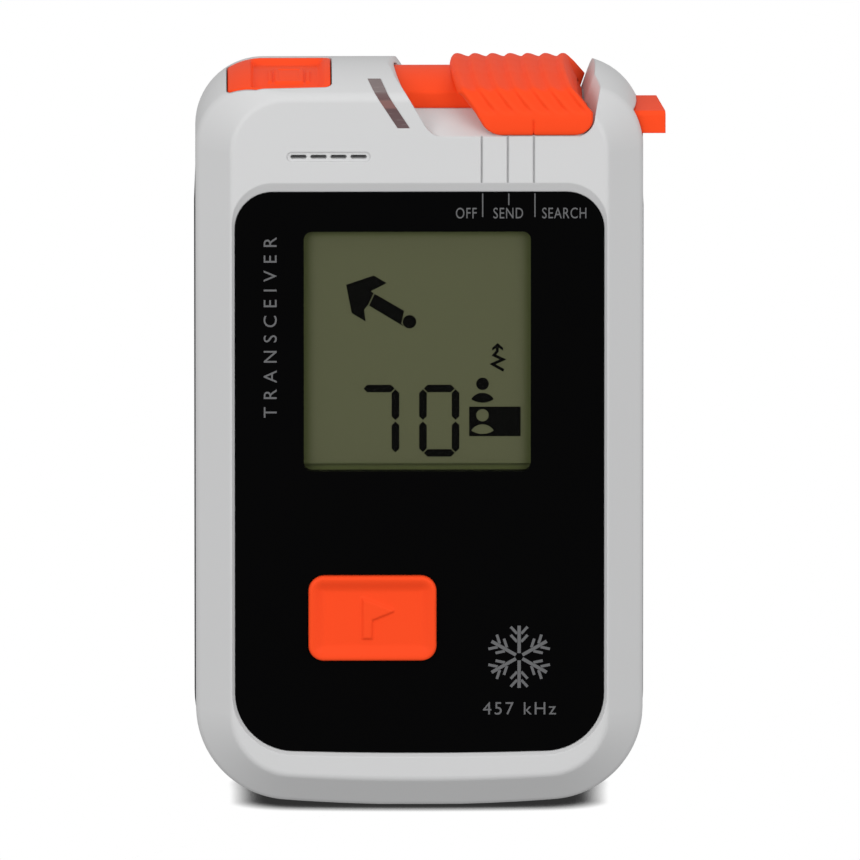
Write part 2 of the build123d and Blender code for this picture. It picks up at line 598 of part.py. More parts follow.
with BuildPart() as position_board:
    block((2, 26), (-4, 6), (97.3, 98.3))
save(position_board, "position_board")

with BuildPart() as hall_sensors:
    for position in POSITIONS_X:
        sensor_x = MAGNET[0] - position + POSITIONS_X[0]
        block((sensor_x - 1.1, sensor_x + 1.1), (2.7, 4.7), (98.3, 99.1))
save(hall_sensors, "hall_sensors")


# ---- battery latch, door and catch ------------------------------------------------------------------

def coil_spring(centre, bottom, top, radius, wire, turns):
    """Compression spring standing between two heights."""
    height = top - bottom - 2 * wire
    with BuildPart() as spring:
        with BuildLine(Plane((*centre, bottom + wire))) as line:
            Helix(height / turns, height, radius)
        with BuildSketch(Plane(line.line @ 0, z_dir=line.line % 0)) as section:
            Circle(wire)
        sweep(path=line.line)
    return spring.part


with BuildPart() as battery_latch:
    extrude(latch_outline(LATCH_UNDER, LATCH_GAP), amount=10)
    add(body_form(0.1), mode=Mode.INTERSECT)
    add(bevel_envelope(0.1), mode=Mode.INTERSECT)
    block((-26.8, LATCH_X[1] - LATCH_GAP), (-8.9, 8.2), (LATCH_UNDER, LATCH_UNDER + 1))
    rod((*STEM, LATCH_UNDER - 1.25), 2.2, 2.5)
save(battery_latch, "battery_latch")

with BuildPart() as latch_spring:
    add(coil_spring(STEM, LATCH_FLOOR, LATCH_UNDER, 3.0, 0.3, 3))
save(latch_spring, "latch_spring")

with BuildPart() as door_catch:
    block((-21.5, -17.5), (7.2, 7.8), (93.9, LATCH_UNDER - 0.2))
save(door_catch, "door_catch")

with BuildPart() as battery_door:
    with BuildSketch(facing(HALF_DEPTH)) as door_outline:
        with BuildLine():
            Polyline((DOOR_X[0], HINGE_Z), (DOOR_X[1], HINGE_Z), (DOOR_X[1], DOOR_TOP), (DOOR_X[0], DOOR_TOP),
                     (DOOR_X[0], HINGE_Z))
        make_face()
    extrude(amount=HALF_DEPTH - DOOR_INNER_Y)
    block((BARREL_X[0][1], BARREL_X[1][0]), (5, 15), (HINGE_Z - 3, HINGE_Z + BARREL_R + 0.4),
          mode=Mode.SUBTRACT)
    for x in BARREL_X:
        rod((sum(x) / 2, HINGE_Y, HINGE_Z), BARREL_R, x[1] - x[0], ALONG_X)
    rod((-10, HINGE_Y, HINGE_Z), PIN_R + 0.05, 60, ALONG_X, mode=Mode.SUBTRACT)
    # Finger ridges near the top edge.
    for step in range(5):
        z = DOOR_TOP - 6 - 2.4 * step
        block((-18, -3), (HALF_DEPTH - 0.5, HALF_DEPTH + 1), (z, z + 1.1), mode=Mode.SUBTRACT)
    # Lug with a hole for the catch.
    block((-22.6, -16.4), (5.9, DOOR_INNER_Y + 0.1), (93.7, 94.9))
    block((-21.8, -17.2), (6.9, 8.1), (93, 96), mode=Mode.SUBTRACT)
save(battery_door, "battery_door")

with BuildPart() as door_seal:
    block(SEAL_X, (9.4, DOOR_INNER_Y), SEAL_Z)
    block((SEAL_X[0] + 1, SEAL_X[1] - 1), (9, 11), (SEAL_Z[0] + 1, SEAL_Z[1] - 0.7), mode=Mode.SUBTRACT)
save(door_seal, "door_seal")

with BuildPart() as hinge_pin:
    rod((-10.7, HINGE_Y, HINGE_Z), PIN_R, 31, ALONG_X)
save(hinge_pin, "hinge_pin")


# ---- power ------------------------------------------------------------------------------------------

def battery_cell(x, nub_up):
    """AAA cell with its raised contact at one end."""
    side = 1 if nub_up else -1
    middle = CELL_FOOT + CELL_LENGTH / 2
    with BuildPart() as cell:
        rod((x, CELL_Y, middle - side * 0.5), CELL_R, CELL_LENGTH - 1)
        fillet(cell.edges().filter_by(GeomType.CIRCLE), 0.5)
        rod((x, CELL_Y, middle + side * (CELL_LENGTH / 2 - 0.5)), 1.9, 1)
    return cell.part


with BuildPart() as battery_cell_left:
    add(battery_cell(CELL_X[0], True))
save(battery_cell_left, "battery_cell_left")

with BuildPart() as battery_cell_middle:
    add(battery_cell(CELL_X[1], False))
save(battery_cell_middle, "battery_cell_middle")

with BuildPart() as battery_cell_right:
    add(battery_cell(CELL_X[2], True))
save(battery_cell_right, "battery_cell_right")

with BuildPart() as contact_springs:
    for x in CELL_X:
        add(coil_spring((x, CELL_Y), TRAY_Z[0], CELL_FOOT, 2.4, 0.25, 3))
save(contact_springs, "contact_springs")

with BuildPart() as contact_plates:
    for x in CELL_X:
        block((x - 3.5, x + 3.5), (1, 5.1), (TRAY_Z[1] - 0.4, TRAY_Z[1]))
        rod((x, 3.9, TRAY_Z[1] - 0.7), 1.2, 0.6)
save(contact_plates, "contact_plates")


# ---- electronics ------------------------------------------------------------------------------------

with BuildPart() as main_board:
    rounded_prism((-26, 26), (14, 87), 2, BOARD_Y)
save(main_board, "main_board")

with BuildPart() as board_chips:
    for x, z, width, height, thick in CHIPS:
        block((x - width / 2, x + width / 2), (BOARD_Y[1], BOARD_Y[1] + thick),
              (z - height / 2, z + height / 2))
    for column in range(8):
        x = -22 + 5 * column
        block((x, x + 1.6), (BOARD_Y[1], BOARD_Y[1] + 0.8), (39, 39.8))
save(board_chips, "board_chips")

with BuildPart() as loudspeaker:
    rounded_prism((SPEAKER_X - 7.2, SPEAKER_X + 7.2), (90.2, 98.9), 3, (FRONT_WALL_BACK, -5.4))
save(loudspeaker, "loudspeaker")

with BuildPart() as speaker_membrane:
    rounded_prism((SPEAKER_X - 6.8, SPEAKER_X + 6.8), (90.7, 98.9), 3, (-8.6, FRONT_WALL_BACK))
save(speaker_membrane, "speaker_membrane")

with BuildPart() as signal_lamp:
    block(LAMP_X, (-10.2, -8.4), LAMP_Z)
save(signal_lamp, "signal_lamp")

save(strip, "light_strip")

with BuildPart() as long_ferrite:
    rod((LONG_ROD_X, ROD_Y, 54), ROD_R, 82)
save(long_ferrite, "long_ferrite")

with BuildPart() as cross_ferrite:
    rod((CROSS_ROD_X, ROD_Y, CROSS_ROD_Z), ROD_R, 39, ALONG_X)
save(cross_ferrite, "cross_ferrite")

with BuildPart() as short_ferrite:
    rod(SHORT_ROD, SHORT_ROD_R, 7.4, ALONG_Y)
save(short_ferrite, "short_ferrite")


def winding(centre, inner, outer_r, length, turn=(0, 0, 0)):
    """Wound coil on a core."""
    with BuildPart() as coil:
        rod(centre, outer_r, length, turn)
        rod(centre, inner, length + 1, turn, mode=Mode.SUBTRACT)
    return coil.part


with BuildPart() as long_coil:
    add(winding((LONG_ROD_X, ROD_Y, 54), ROD_R, COIL_R, 70))
save(long_coil, "long_coil")

with BuildPart() as cross_coil:
    add(winding((CROSS_ROD_X, ROD_Y, CROSS_ROD_Z), ROD_R, COIL_R, 28, ALONG_X))
save(cross_coil, "cross_coil")

with BuildPart() as short_coil:
    add(winding(SHORT_ROD, SHORT_ROD_R, 5.0, 6.4, ALONG_Y))
save(short_coil, "short_coil")

with BuildPart() as ferrite_holders:
    for z in (15.5, 92.5):
        add(winding((LONG_ROD_X, ROD_Y, z), ROD_R, COIL_R, 2.4))
    for x in (-22, 13):
        add(winding((x, ROD_Y, CROSS_ROD_Z), ROD_R, COIL_R, 2.4, ALONG_X))
save(ferrite_holders, "ferrite_holders")


# ---- fasteners --------------------------------------------------------------------------------------

with BuildPart() as housing_screws:
    for x, z in BOSSES:
        rod((x, 8.7, z), 1.6, 1.4, ALONG_Y)
        rod((x, 1.9, z), SCREW_R, 12.4, ALONG_Y)
        rod((x, 9.4, z), 0.8, 1.2, ALONG_Y, mode=Mode.SUBTRACT)
save(housing_screws, "housing_screws")

with BuildPart() as lanyard_bar:
    rod((0, LANYARD_BAR_Y, sum(LANYARD_Z) / 2), LANYARD_BAR_R, 2 * LANYARD_X + 2, ALONG_X)
save(lanyard_bar, "lanyard_bar")
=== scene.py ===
import json
import math

import bmesh
import bpy
import numpy as np
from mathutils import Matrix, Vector


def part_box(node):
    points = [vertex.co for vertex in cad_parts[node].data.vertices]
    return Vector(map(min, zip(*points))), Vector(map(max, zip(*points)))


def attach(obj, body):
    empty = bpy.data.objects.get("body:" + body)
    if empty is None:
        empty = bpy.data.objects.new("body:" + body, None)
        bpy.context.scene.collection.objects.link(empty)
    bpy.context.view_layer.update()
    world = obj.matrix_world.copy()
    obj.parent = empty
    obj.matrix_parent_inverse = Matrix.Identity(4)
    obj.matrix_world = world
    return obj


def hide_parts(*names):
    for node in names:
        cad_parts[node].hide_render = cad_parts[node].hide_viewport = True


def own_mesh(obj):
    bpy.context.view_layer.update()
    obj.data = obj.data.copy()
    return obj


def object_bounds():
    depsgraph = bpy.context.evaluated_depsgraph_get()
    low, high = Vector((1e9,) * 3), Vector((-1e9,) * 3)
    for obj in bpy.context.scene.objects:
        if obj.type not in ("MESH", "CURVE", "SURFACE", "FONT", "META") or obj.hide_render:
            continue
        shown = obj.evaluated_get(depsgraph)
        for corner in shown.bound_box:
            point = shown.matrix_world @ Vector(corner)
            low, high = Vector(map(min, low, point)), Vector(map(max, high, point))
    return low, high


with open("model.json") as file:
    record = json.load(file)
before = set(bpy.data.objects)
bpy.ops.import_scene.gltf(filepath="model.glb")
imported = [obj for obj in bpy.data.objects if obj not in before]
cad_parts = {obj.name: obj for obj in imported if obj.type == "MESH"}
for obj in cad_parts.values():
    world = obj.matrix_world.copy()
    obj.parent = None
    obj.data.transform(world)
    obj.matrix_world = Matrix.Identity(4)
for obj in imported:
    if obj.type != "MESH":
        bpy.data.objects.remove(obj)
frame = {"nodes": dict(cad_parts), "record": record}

CAD_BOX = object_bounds()
MM = 0.001
NODES = frame["nodes"]


# ---- camera, light and floor ------------------------------------------------------------------------

CAMERA_AZIMUTH = math.radians(-0.4)
CAMERA_ELEVATION = math.radians(12.0)
CAMERA_DISTANCE = 6.0      # far away, because the picture has hardly any perspective
CAMERA_LENS = 1700.0
AIM = Vector((1.62, 0.0, 55.14)) * MM    # a little right of the body's middle, because of the slider's end
SKY_BELOW = 0.40
SKY_ABOVE = 0.85
SKY_FULL = 0.9             # upward part of a direction from which the sky is at its brightest
LIGHT_AIM = (0, 0, 0.06)
LIGHT_SIZE = (0.5, 0.4)
LIGHT_PLACE = (0.46, -0.62, 0.30)    # of the light at the right; the one at the left mirrors it
LIGHT_POWER_LEFT = 2.7
LIGHT_POWER_RIGHT = 2.4
FLOOR_REACH = 6.0          # half a side of the floor
FLOOR_DROP = 0.05 * MM     # the floor lies this far below the feet, so that no faces coincide
FLOOR_SHADOW_REACH = 3.6 * MM   # painted contact shadow darkens the floor within this distance of what stands on it


def make_camera():
    """Long lens, slightly above and a touch to the left, as a catalogue picture is taken."""
    data = bpy.data.cameras.new("camera")
    data.lens = CAMERA_LENS
    data.sensor_width = 36.0
    data.clip_start = 1.0
    data.clip_end = 20.0
    camera = bpy.data.objects.new("camera", data)
    bpy.context.scene.collection.objects.link(camera)
    back = Vector((math.sin(CAMERA_AZIMUTH) * math.cos(CAMERA_ELEVATION),
                   -math.cos(CAMERA_AZIMUTH) * math.cos(CAMERA_ELEVATION),
                   math.sin(CAMERA_ELEVATION)))
    camera.location = AIM + back * CAMERA_DISTANCE
    camera.rotation_mode = "QUATERNION"
    camera.rotation_quaternion = (-back).to_track_quat("-Z", "Y")
    bpy.context.scene.camera = camera


def area_light(name, place, power):
    """White light from a broad rectangle that faces the part."""
    data = bpy.data.lights.new(name, "AREA")
    data.shape = "RECTANGLE"
    data.size, data.size_y = LIGHT_SIZE
    data.energy = power
    light = bpy.data.objects.new(name, data)
    bpy.context.scene.collection.objects.link(light)
    light.location = place
    light.rotation_mode = "QUATERNION"
    light.rotation_quaternion = (Vector(LIGHT_AIM) - Vector(place)).to_track_quat("-Z", "Y")


def make_sky():
    """Sky that is dim below the horizon and grows brighter upwards from it."""
    world = bpy.data.worlds.new("studio")
    bpy.context.scene.world = world
    world.use_nodes = True
    tree = world.node_tree
    place = tree.nodes.new("ShaderNodeTexCoord")
    apart = tree.nodes.new("ShaderNodeSeparateXYZ")
    tree.links.new(place.outputs["Generated"], apart.inputs["Vector"])
    level = tree.nodes.new("ShaderNodeMapRange")
    level.interpolation_type = "SMOOTHSTEP"
    level.inputs["From Min"].default_value = 0.0
    level.inputs["From Max"].default_value = SKY_FULL
    level.inputs["To Min"].default_value = SKY_BELOW
    level.inputs["To Max"].default_value = SKY_ABOVE
    tree.links.new(apart.outputs["Z"], level.inputs["Value"])
    # Seen directly, beyond the floor, it is as white as the floor.
    ray = tree.nodes.new("ShaderNodeLightPath")
    seen = tree.nodes.new("ShaderNodeMix")
    seen.inputs["B"].default_value = 1.0
    tree.links.new(ray.outputs["Is Camera Ray"], seen.inputs["Factor"])
    tree.links.new(level.outputs["Result"], seen.inputs["A"])
    background = tree.nodes["Background"]
    background.inputs["Color"].default_value = (1.0, 1.0, 1.0, 1)
    tree.links.new(seen.outputs["Result"], background.inputs["Strength"])


def floor_material():
    """White glowing floor, with a painted contact shadow only in the narrow gap where something stands on
    it.
    """
    made = bpy.data.materials.new("floor_white")
    made.use_nodes = True
    tree = made.node_tree
    tree.nodes.remove(tree.nodes["Principled BSDF"])
    # Painted shadow: the floor's glow dims where the part stands close over it.
    near = tree.nodes.new("ShaderNodeAmbientOcclusion")
    near.samples = 16
    near.inputs["Distance"].default_value = FLOOR_SHADOW_REACH
    level = tree.nodes.new("ShaderNodeMapRange")
    level.inputs["From Min"].default_value = 0.30
    level.inputs["From Max"].default_value = 0.86
    level.inputs["To Min"].default_value = 0.03
    level.inputs["To Max"].default_value = 1.0
    tree.links.new(near.outputs["AO"], level.inputs["Value"])
    painted_shading = tree.nodes.new("ShaderNodeEmission")
    tree.links.new(level.outputs["Result"], painted_shading.inputs["Strength"])
    tree.links.new(painted_shading.outputs["Emission"], tree.nodes["Material Output"].inputs["Surface"])
    return made


def make_stage():
    """Sky, a white floor that throws no light back up, and a broad light at either side of the front."""
    make_sky()
    bm = bmesh.new()
    bmesh.ops.create_grid(bm, x_segments=1, y_segments=1, size=FLOOR_REACH)
    mesh = bpy.data.meshes.new("floor")
    bm.to_mesh(mesh)
    bm.free()
    floor = bpy.data.objects.new("floor", mesh)
    bpy.context.scene.collection.objects.link(floor)
    floor.location.z = -FLOOR_DROP
    floor.data.materials.append(floor_material())
    floor.visible_diffuse = False
    floor.visible_glossy = False
    x, y, z = LIGHT_PLACE
    area_light("light_left", (-x, y, z), LIGHT_POWER_LEFT)
    area_light("light_right", (x, y, z), LIGHT_POWER_RIGHT)


# ---- materials --------------------------------------------------------------------------------------

def node_tree(name):
    """New node material, with its tree and its shader."""
    made = bpy.data.materials.new(name)
    made.use_nodes = True
    tree = made.node_tree
    return made, tree, tree.nodes["Principled BSDF"]


def noise(tree, scale, detail=4.0, roughness=0.55, stretch=None):
    """Noise over the object's own coordinates, in metres, so that scale is in features per metre."""
    place = tree.nodes.new("ShaderNodeTexCoord")
    source = place.outputs["Object"]
    if stretch:
        mapping = tree.nodes.new("ShaderNodeMapping")
        mapping.inputs["Scale"].default_value = stretch
        tree.links.new(source, mapping.inputs["Vector"])
        source = mapping.outputs["Vector"]
    texture = tree.nodes.new("ShaderNodeTexNoise")
    texture.inputs["Scale"].default_value = scale
    texture.inputs["Detail"].default_value = detail
    texture.inputs["Roughness"].default_value = roughness
    tree.links.new(source, texture.inputs["Vector"])
    return texture.outputs["Fac"]


def ramp_value(tree, source, low, high):
    """Maps the middle of the range of a noise, where most of its values lie, onto low to high."""
    span = tree.nodes.new("ShaderNodeMapRange")
    span.inputs["From Min"].default_value = 0.3
    span.inputs["From Max"].default_value = 0.7
    span.inputs["To Min"].default_value = low
    span.inputs["To Max"].default_value = high
    tree.links.new(source, span.inputs["Value"])
    return span.outputs["Result"]


def blend_colours(tree, source, first, second):
    """Colour that goes from the first to the second as the source goes from 0 to 1."""
    mix = tree.nodes.new("ShaderNodeMix")
    mix.data_type = "RGBA"
    mix.inputs["A"].default_value = (*first, 1)
    mix.inputs["B"].default_value = (*second, 1)
    tree.links.new(source, mix.inputs["Factor"])
    return mix.outputs["Result"]


def add_bump(tree, shader, source, strength, distance, worn_edge=0.0):
    """Surface relief from a value, on edges that look rounded; distance and worn_edge are in metres."""
    bump = tree.nodes.new("ShaderNodeBump")
    bump.inputs["Strength"].default_value = strength
    bump.inputs["Distance"].default_value = distance
    tree.links.new(source, bump.inputs["Height"])
    tree.links.new(bump.outputs["Normal"], shader.inputs["Normal"])
    if worn_edge:
        bevel = tree.nodes.new("ShaderNodeBevel")
        bevel.samples = 6
        bevel.inputs["Radius"].default_value = worn_edge
        tree.links.new(bevel.outputs["Normal"], bump.inputs["Normal"])


GRAIN_DEPTH = 0.04 * MM


def moulded(name, colour, roughness, grain, bump, specular=0.4, variation=0.03, metallic=0.0, stretch=None,
            worn_edge=0.0):
    """Plastic, rubber, paint or metal: cloudy shade, fine grain, a varying gloss, softened edges."""
    made, tree, shader = node_tree(name)
    dark = tuple(c * (1 - variation) for c in colour)
    light = tuple(min(1.0, c * (1 + variation)) for c in colour)
    cloud = noise(tree, 60.0, 3.0)
    tree.links.new(blend_colours(tree, cloud, dark, light), shader.inputs["Base Color"])
    fine = noise(tree, grain, 3.0, 0.6, stretch)
    gloss = ramp_value(tree, fine, roughness * 0.9, min(1.0, roughness * 1.12))
    tree.links.new(gloss, shader.inputs["Roughness"])
    if bump:
        add_bump(tree, shader, fine, bump, GRAIN_DEPTH, worn_edge)
    shader.inputs["Metallic"].default_value = metallic
    shader.inputs["Specular IOR Level"].default_value = specular
    return made


def window_material():
    """Clear display window: lets light through, with a weak gloss."""
    made, tree, shader = node_tree("window_clear")
    smudge = noise(tree, 120.0, 5.0)
    tree.links.new(ramp_value(tree, smudge, 0.04, 0.09), shader.inputs["Roughness"])
    tint = blend_colours(tree, smudge, (0.010, 0.010, 0.009), (0.016, 0.016, 0.014))
    tree.links.new(tint, shader.inputs["Base Color"])
    shader.inputs["Alpha"].default_value = 0.06
    shader.inputs["Specular IOR Level"].default_value = 0.2
    return made


DISPLAY_SHADE_EDGE = 1.6 * MM    # painted shade from the window's frame darkens the display over this width along the edges of its window


def display_material():
    """Olive display glass, with painted shade from the window's frame darkening it towards the edges of its
    window.
    """
    made, tree, shader = node_tree("display_face")
    low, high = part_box("display_window")
    place = tree.nodes.new("ShaderNodeTexCoord")
    apart = tree.nodes.new("ShaderNodeSeparateXYZ")
    tree.links.new(place.outputs["Object"], apart.inputs["Vector"])

    def inside(axis, start, end):
        """1 in the middle and 0 at either edge of the window, along one axis."""
        near = tree.nodes.new("ShaderNodeMapRange")
        near.interpolation_type = "SMOOTHSTEP"
        near.inputs["From Min"].default_value = start
        near.inputs["From Max"].default_value = start + DISPLAY_SHADE_EDGE
        far = tree.nodes.new("ShaderNodeMapRange")
        far.interpolation_type = "SMOOTHSTEP"
        far.inputs["From Min"].default_value = end
        far.inputs["From Max"].default_value = end - DISPLAY_SHADE_EDGE
        tree.links.new(apart.outputs[axis], near.inputs["Value"])
        tree.links.new(apart.outputs[axis], far.inputs["Value"])
        both = tree.nodes.new("ShaderNodeMath")
        both.operation = "MULTIPLY"
        tree.links.new(near.outputs["Result"], both.inputs[0])
        tree.links.new(far.outputs["Result"], both.inputs[1])
        return both.outputs["Value"]

    # Painted shade: this mask is 0 along the window's edges, where the frame would shade the display, and 1
    # in the middle.
    painted_shading = tree.nodes.new("ShaderNodeMath")
    painted_shading.operation = "MULTIPLY"
    tree.links.new(inside("X", low.x, high.x), painted_shading.inputs[0])
    tree.links.new(inside("Z", low.z, high.z), painted_shading.inputs[1])
    shade = blend_colours(tree, painted_shading.outputs["Value"], (0.088, 0.104, 0.036), (0.110, 0.116, 0.060))
    mottle = noise(tree, 9000.0, 2.0)
    tint = tree.nodes.new("ShaderNodeMix")
    tint.data_type = "RGBA"
    tint.blend_type = "MULTIPLY"
    tint.inputs["Factor"].default_value = 0.12
    tree.links.new(shade, tint.inputs["A"])
    tree.links.new(mottle, tint.inputs["B"])
    tree.links.new(tint.outputs["Result"], shader.inputs["Base Color"])
    shader.inputs["Roughness"].default_value = 0.55
    shader.inputs["Specular IOR Level"].default_value = 0.1
    return made


# Shade of the light guide over its height, from its lower end up, as places from 0 to 1 and colours.
STRIP_SHADES = ((0.0, (0.13, 0.085, 0.088)), (0.44, (0.12, 0.072, 0.074)), (0.49, (0.23, 0.115, 0.108)),
                (0.63, (0.22, 0.115, 0.105)), (0.67, (0.125, 0.07, 0.07)), (0.78, (0.14, 0.088, 0.088)),
                (0.82, (0.185, 0.14, 0.138)), (1.0, (0.165, 0.123, 0.121)))


def strip_material():
    """Smoked light guide: bands of what lies behind it, with pale streaks across."""
    made, tree, shader = node_tree("strip_clear")
    low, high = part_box("light_strip")
    place = tree.nodes.new("ShaderNodeTexCoord")
    apart = tree.nodes.new("ShaderNodeSeparateXYZ")
    tree.links.new(place.outputs["Object"], apart.inputs["Vector"])
    height = tree.nodes.new("ShaderNodeMapRange")
    height.inputs["From Min"].default_value = low.z
    height.inputs["From Max"].default_value = high.z
    tree.links.new(apart.outputs["Z"], height.inputs["Value"])
    ramp = tree.nodes.new("ShaderNodeValToRGB")
    while len(ramp.color_ramp.elements) < len(STRIP_SHADES):
        ramp.color_ramp.elements.new(0.5)
    for element, (position, colour) in zip(ramp.color_ramp.elements, STRIP_SHADES):
        element.position = position
        element.color = (*colour, 1)
    tree.links.new(height.outputs["Result"], ramp.inputs["Fac"])
    streaks = noise(tree, 1500.0, 3.0, 0.7, stretch=(0.25, 1.0, 1.6))
    mix = tree.nodes.new("ShaderNodeMix")
    mix.data_type = "RGBA"
    mix.inputs["B"].default_value = (0.30, 0.25, 0.24, 1)
    tree.links.new(ramp_value(tree, streaks, -0.55, 0.35), mix.inputs["Factor"])
    tree.links.new(ramp.outputs["Color"], mix.inputs["A"])
    tree.links.new(mix.outputs["Result"], shader.inputs["Base Color"])
    tree.links.new(ramp_value(tree, streaks, 0.12, 0.3), shader.inputs["Roughness"])
    shader.inputs["Specular IOR Level"].default_value = 0.3
    return made


def wire_material():
    """Enamelled copper turns, as fine lines across the winding."""
    made, tree, shader = node_tree("copper_wire")
    place = tree.nodes.new("ShaderNodeTexCoord")
    turns = tree.nodes.new("ShaderNodeTexWave")
    turns.bands_direction = "Z"
    turns.inputs["Scale"].default_value = 900.0
    turns.inputs["Distortion"].default_value = 0.4
    tree.links.new(place.outputs["Object"], turns.inputs["Vector"])
    tree.links.new(blend_colours(tree, turns.outputs["Fac"], (0.22, 0.07, 0.03), (0.62, 0.24, 0.10)),
                   shader.inputs["Base Color"])
    add_bump(tree, shader, turns.outputs["Fac"], 0.5, 0.1 * MM)
    shader.inputs["Metallic"].default_value = 0.8
    tree.links.new(ramp_value(tree, turns.outputs["Fac"], 0.3, 0.45), shader.inputs["Roughness"])
    return made


JACKET_BAND = 0.68         # the copper-coloured band starts at this part of the cell's height


def jacket_material():
    """Cell jacket: black with a copper-coloured band round its upper part."""
    made, tree, shader = node_tree("cell_jacket")
    low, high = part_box("battery_cell_left")
    place = tree.nodes.new("ShaderNodeTexCoord")
    apart = tree.nodes.new("ShaderNodeSeparateXYZ")
    tree.links.new(place.outputs["Object"], apart.inputs["Vector"])
    edge = tree.nodes.new("ShaderNodeMath")
    edge.operation = "GREATER_THAN"
    edge.inputs[1].default_value = low.z + JACKET_BAND * (high.z - low.z)
    tree.links.new(apart.outputs["Z"], edge.inputs[0])
    tree.links.new(blend_colours(tree, edge.outputs["Value"], (0.016, 0.016, 0.018), (0.45, 0.20, 0.07)),
                   shader.inputs["Base Color"])
    scuff = noise(tree, 700.0, 5.0)
    tree.links.new(ramp_value(tree, scuff, 0.2, 0.34), shader.inputs["Roughness"])
    shader.inputs["Metallic"].default_value = 0.35
    return made


# Finishes that moulded() makes, by slot. Grain is in features per metre.
FINISHES = {
    "housing_grey": dict(colour=(0.595, 0.597, 0.60), roughness=0.50, grain=7000, bump=0.10, specular=0.3,
                         variation=0.012, worn_edge=0.35 * MM),
    "housing_dark": dict(colour=(0.040, 0.042, 0.046), roughness=0.62, grain=3500, bump=0.35,
                         variation=0.08),
    "orange_plastic": dict(colour=(0.910, 0.070, 0.0155), roughness=0.42, grain=7000, bump=0.06,
                           specular=0.05, variation=0.015, worn_edge=0.25 * MM),
    "panel_black": dict(colour=(0.0013, 0.0013, 0.0014), roughness=0.16, grain=900, bump=0.0, specular=0.03,
                        variation=0.1),
    "print_grey": dict(colour=(0.125, 0.126, 0.13), roughness=0.5, grain=9000, bump=0.05, specular=0.1),
    "display_ink": dict(colour=(0.0012, 0.0013, 0.001), roughness=0.5, grain=9000, bump=0.02,
                        specular=0.02),
    "rubber_black": dict(colour=(0.018, 0.018, 0.019), roughness=0.75, grain=4000, bump=0.3),
    "steel": dict(colour=(0.56, 0.56, 0.57), roughness=0.28, grain=4000, bump=0.1, metallic=1.0,
                  stretch=(0.06, 1, 1)),
    "steel_dark": dict(colour=(0.09, 0.09, 0.095), roughness=0.4, grain=4000, bump=0.1, metallic=1.0),
    "ferrite": dict(colour=(0.03, 0.03, 0.033), roughness=0.6, grain=3000, bump=0.4, variation=0.15),
    "board_green": dict(colour=(0.008, 0.075, 0.030), roughness=0.3, grain=1500, bump=0.05,
                        variation=0.12),
    "chip_black": dict(colour=(0.014, 0.014, 0.015), roughness=0.55, grain=6000, bump=0.2),
    "backlight_white": dict(colour=(0.74, 0.75, 0.70), roughness=0.5, grain=3000, bump=0.05),
}
MATERIALS = {}


def make_materials():
    """One material for each slot of the record."""
    for slot, finish in FINISHES.items():
        MATERIALS[slot] = moulded(slot, **finish)
    MATERIALS["window_clear"] = window_material()
    MATERIALS["display_face"] = display_material()
    MATERIALS["strip_clear"] = strip_material()
    MATERIALS["copper_wire"] = wire_material()
    MATERIALS["cell_jacket"] = jacket_material()


def paint_frame():
    """Every CAD node gets the material of its slot."""
    for entry in frame["record"]["subparts"]:
        piece = NODES[entry["node"]]
        piece.data.materials.clear()
        piece.data.materials.append(MATERIALS[entry["material_slot"]])


# ---- mesh helpers -----------------------------------------------------------------------------------

SHARP_ANGLE = math.radians(50)
WELD = 1e-7                # points nearer than this, in metres, become one
CELL = 0.1                 # side of a grid cell, in millimetres


def add_piece(name, mesh, body, slot, smooth=True):
    """Links a finished mesh, in the frame's metres, as a piece of the model."""
    piece = bpy.data.objects.new(name, mesh)
    bpy.context.scene.collection.objects.link(piece)
    mesh.materials.clear()
    mesh.materials.append(MATERIALS[slot])
    if smooth:
        mesh.shade_smooth()
        mesh.set_sharp_from_angle(angle=SHARP_ANGLE)
    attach(piece, body)
    return piece


def shell_mesh(name, outer, inner):
    """Closed mesh between two grids of points in millimetres, joined round their edges."""
    rows, columns, _ = outer.shape
    count = rows * columns
    points = np.concatenate([outer.reshape(-1, 3), inner.reshape(-1, 3)])

    def index(r, c, side):
        return side * count + r * columns + c

    faces = []
    for r in range(rows - 1):
        for c in range(columns - 1):
            faces.append((index(r, c, 0), index(r, c + 1, 0), index(r + 1, c + 1, 0), index(r + 1, c, 0)))
            faces.append((index(r, c, 1), index(r + 1, c, 1), index(r + 1, c + 1, 1), index(r, c + 1, 1)))
    border = [(0, c) for c in range(columns)]
    border += [(r, columns - 1) for r in range(1, rows)]
    border += [(rows - 1, c) for c in range(columns - 2, -1, -1)]
    border += [(r, 0) for r in range(rows - 2, 0, -1)]
    for here, there in zip(border, border[1:] + border[:1]):
        faces.append((index(*here, 0), index(*here, 1), index(*there, 1), index(*there, 0)))
    mesh = bpy.data.meshes.new(name)
    mesh.from_pydata([tuple(p) for p in points * MM], [], faces)
    bm = bmesh.new()
    bm.from_mesh(mesh)
    bmesh.ops.remove_doubles(bm, verts=bm.verts, dist=WELD)
    bmesh.ops.recalc_face_normals(bm, faces=bm.faces)
    bm.to_mesh(mesh)
    bm.free()
    mesh.update()
    return mesh


def smoothstep(x):
    """Smooth rise from 0 at 0 to 1 at 1, level outside them."""
    x = np.clip(x, 0.0, 1.0)
    return x * x * (3 - 2 * x)


def edge_drop(distance, radius):
    """How far a rounded edge falls back, at a distance in from it."""
    d = np.clip(distance, 0.0, radius)
    return radius - np.sqrt(np.maximum(radius ** 2 - (radius - d) ** 2, 0.0))


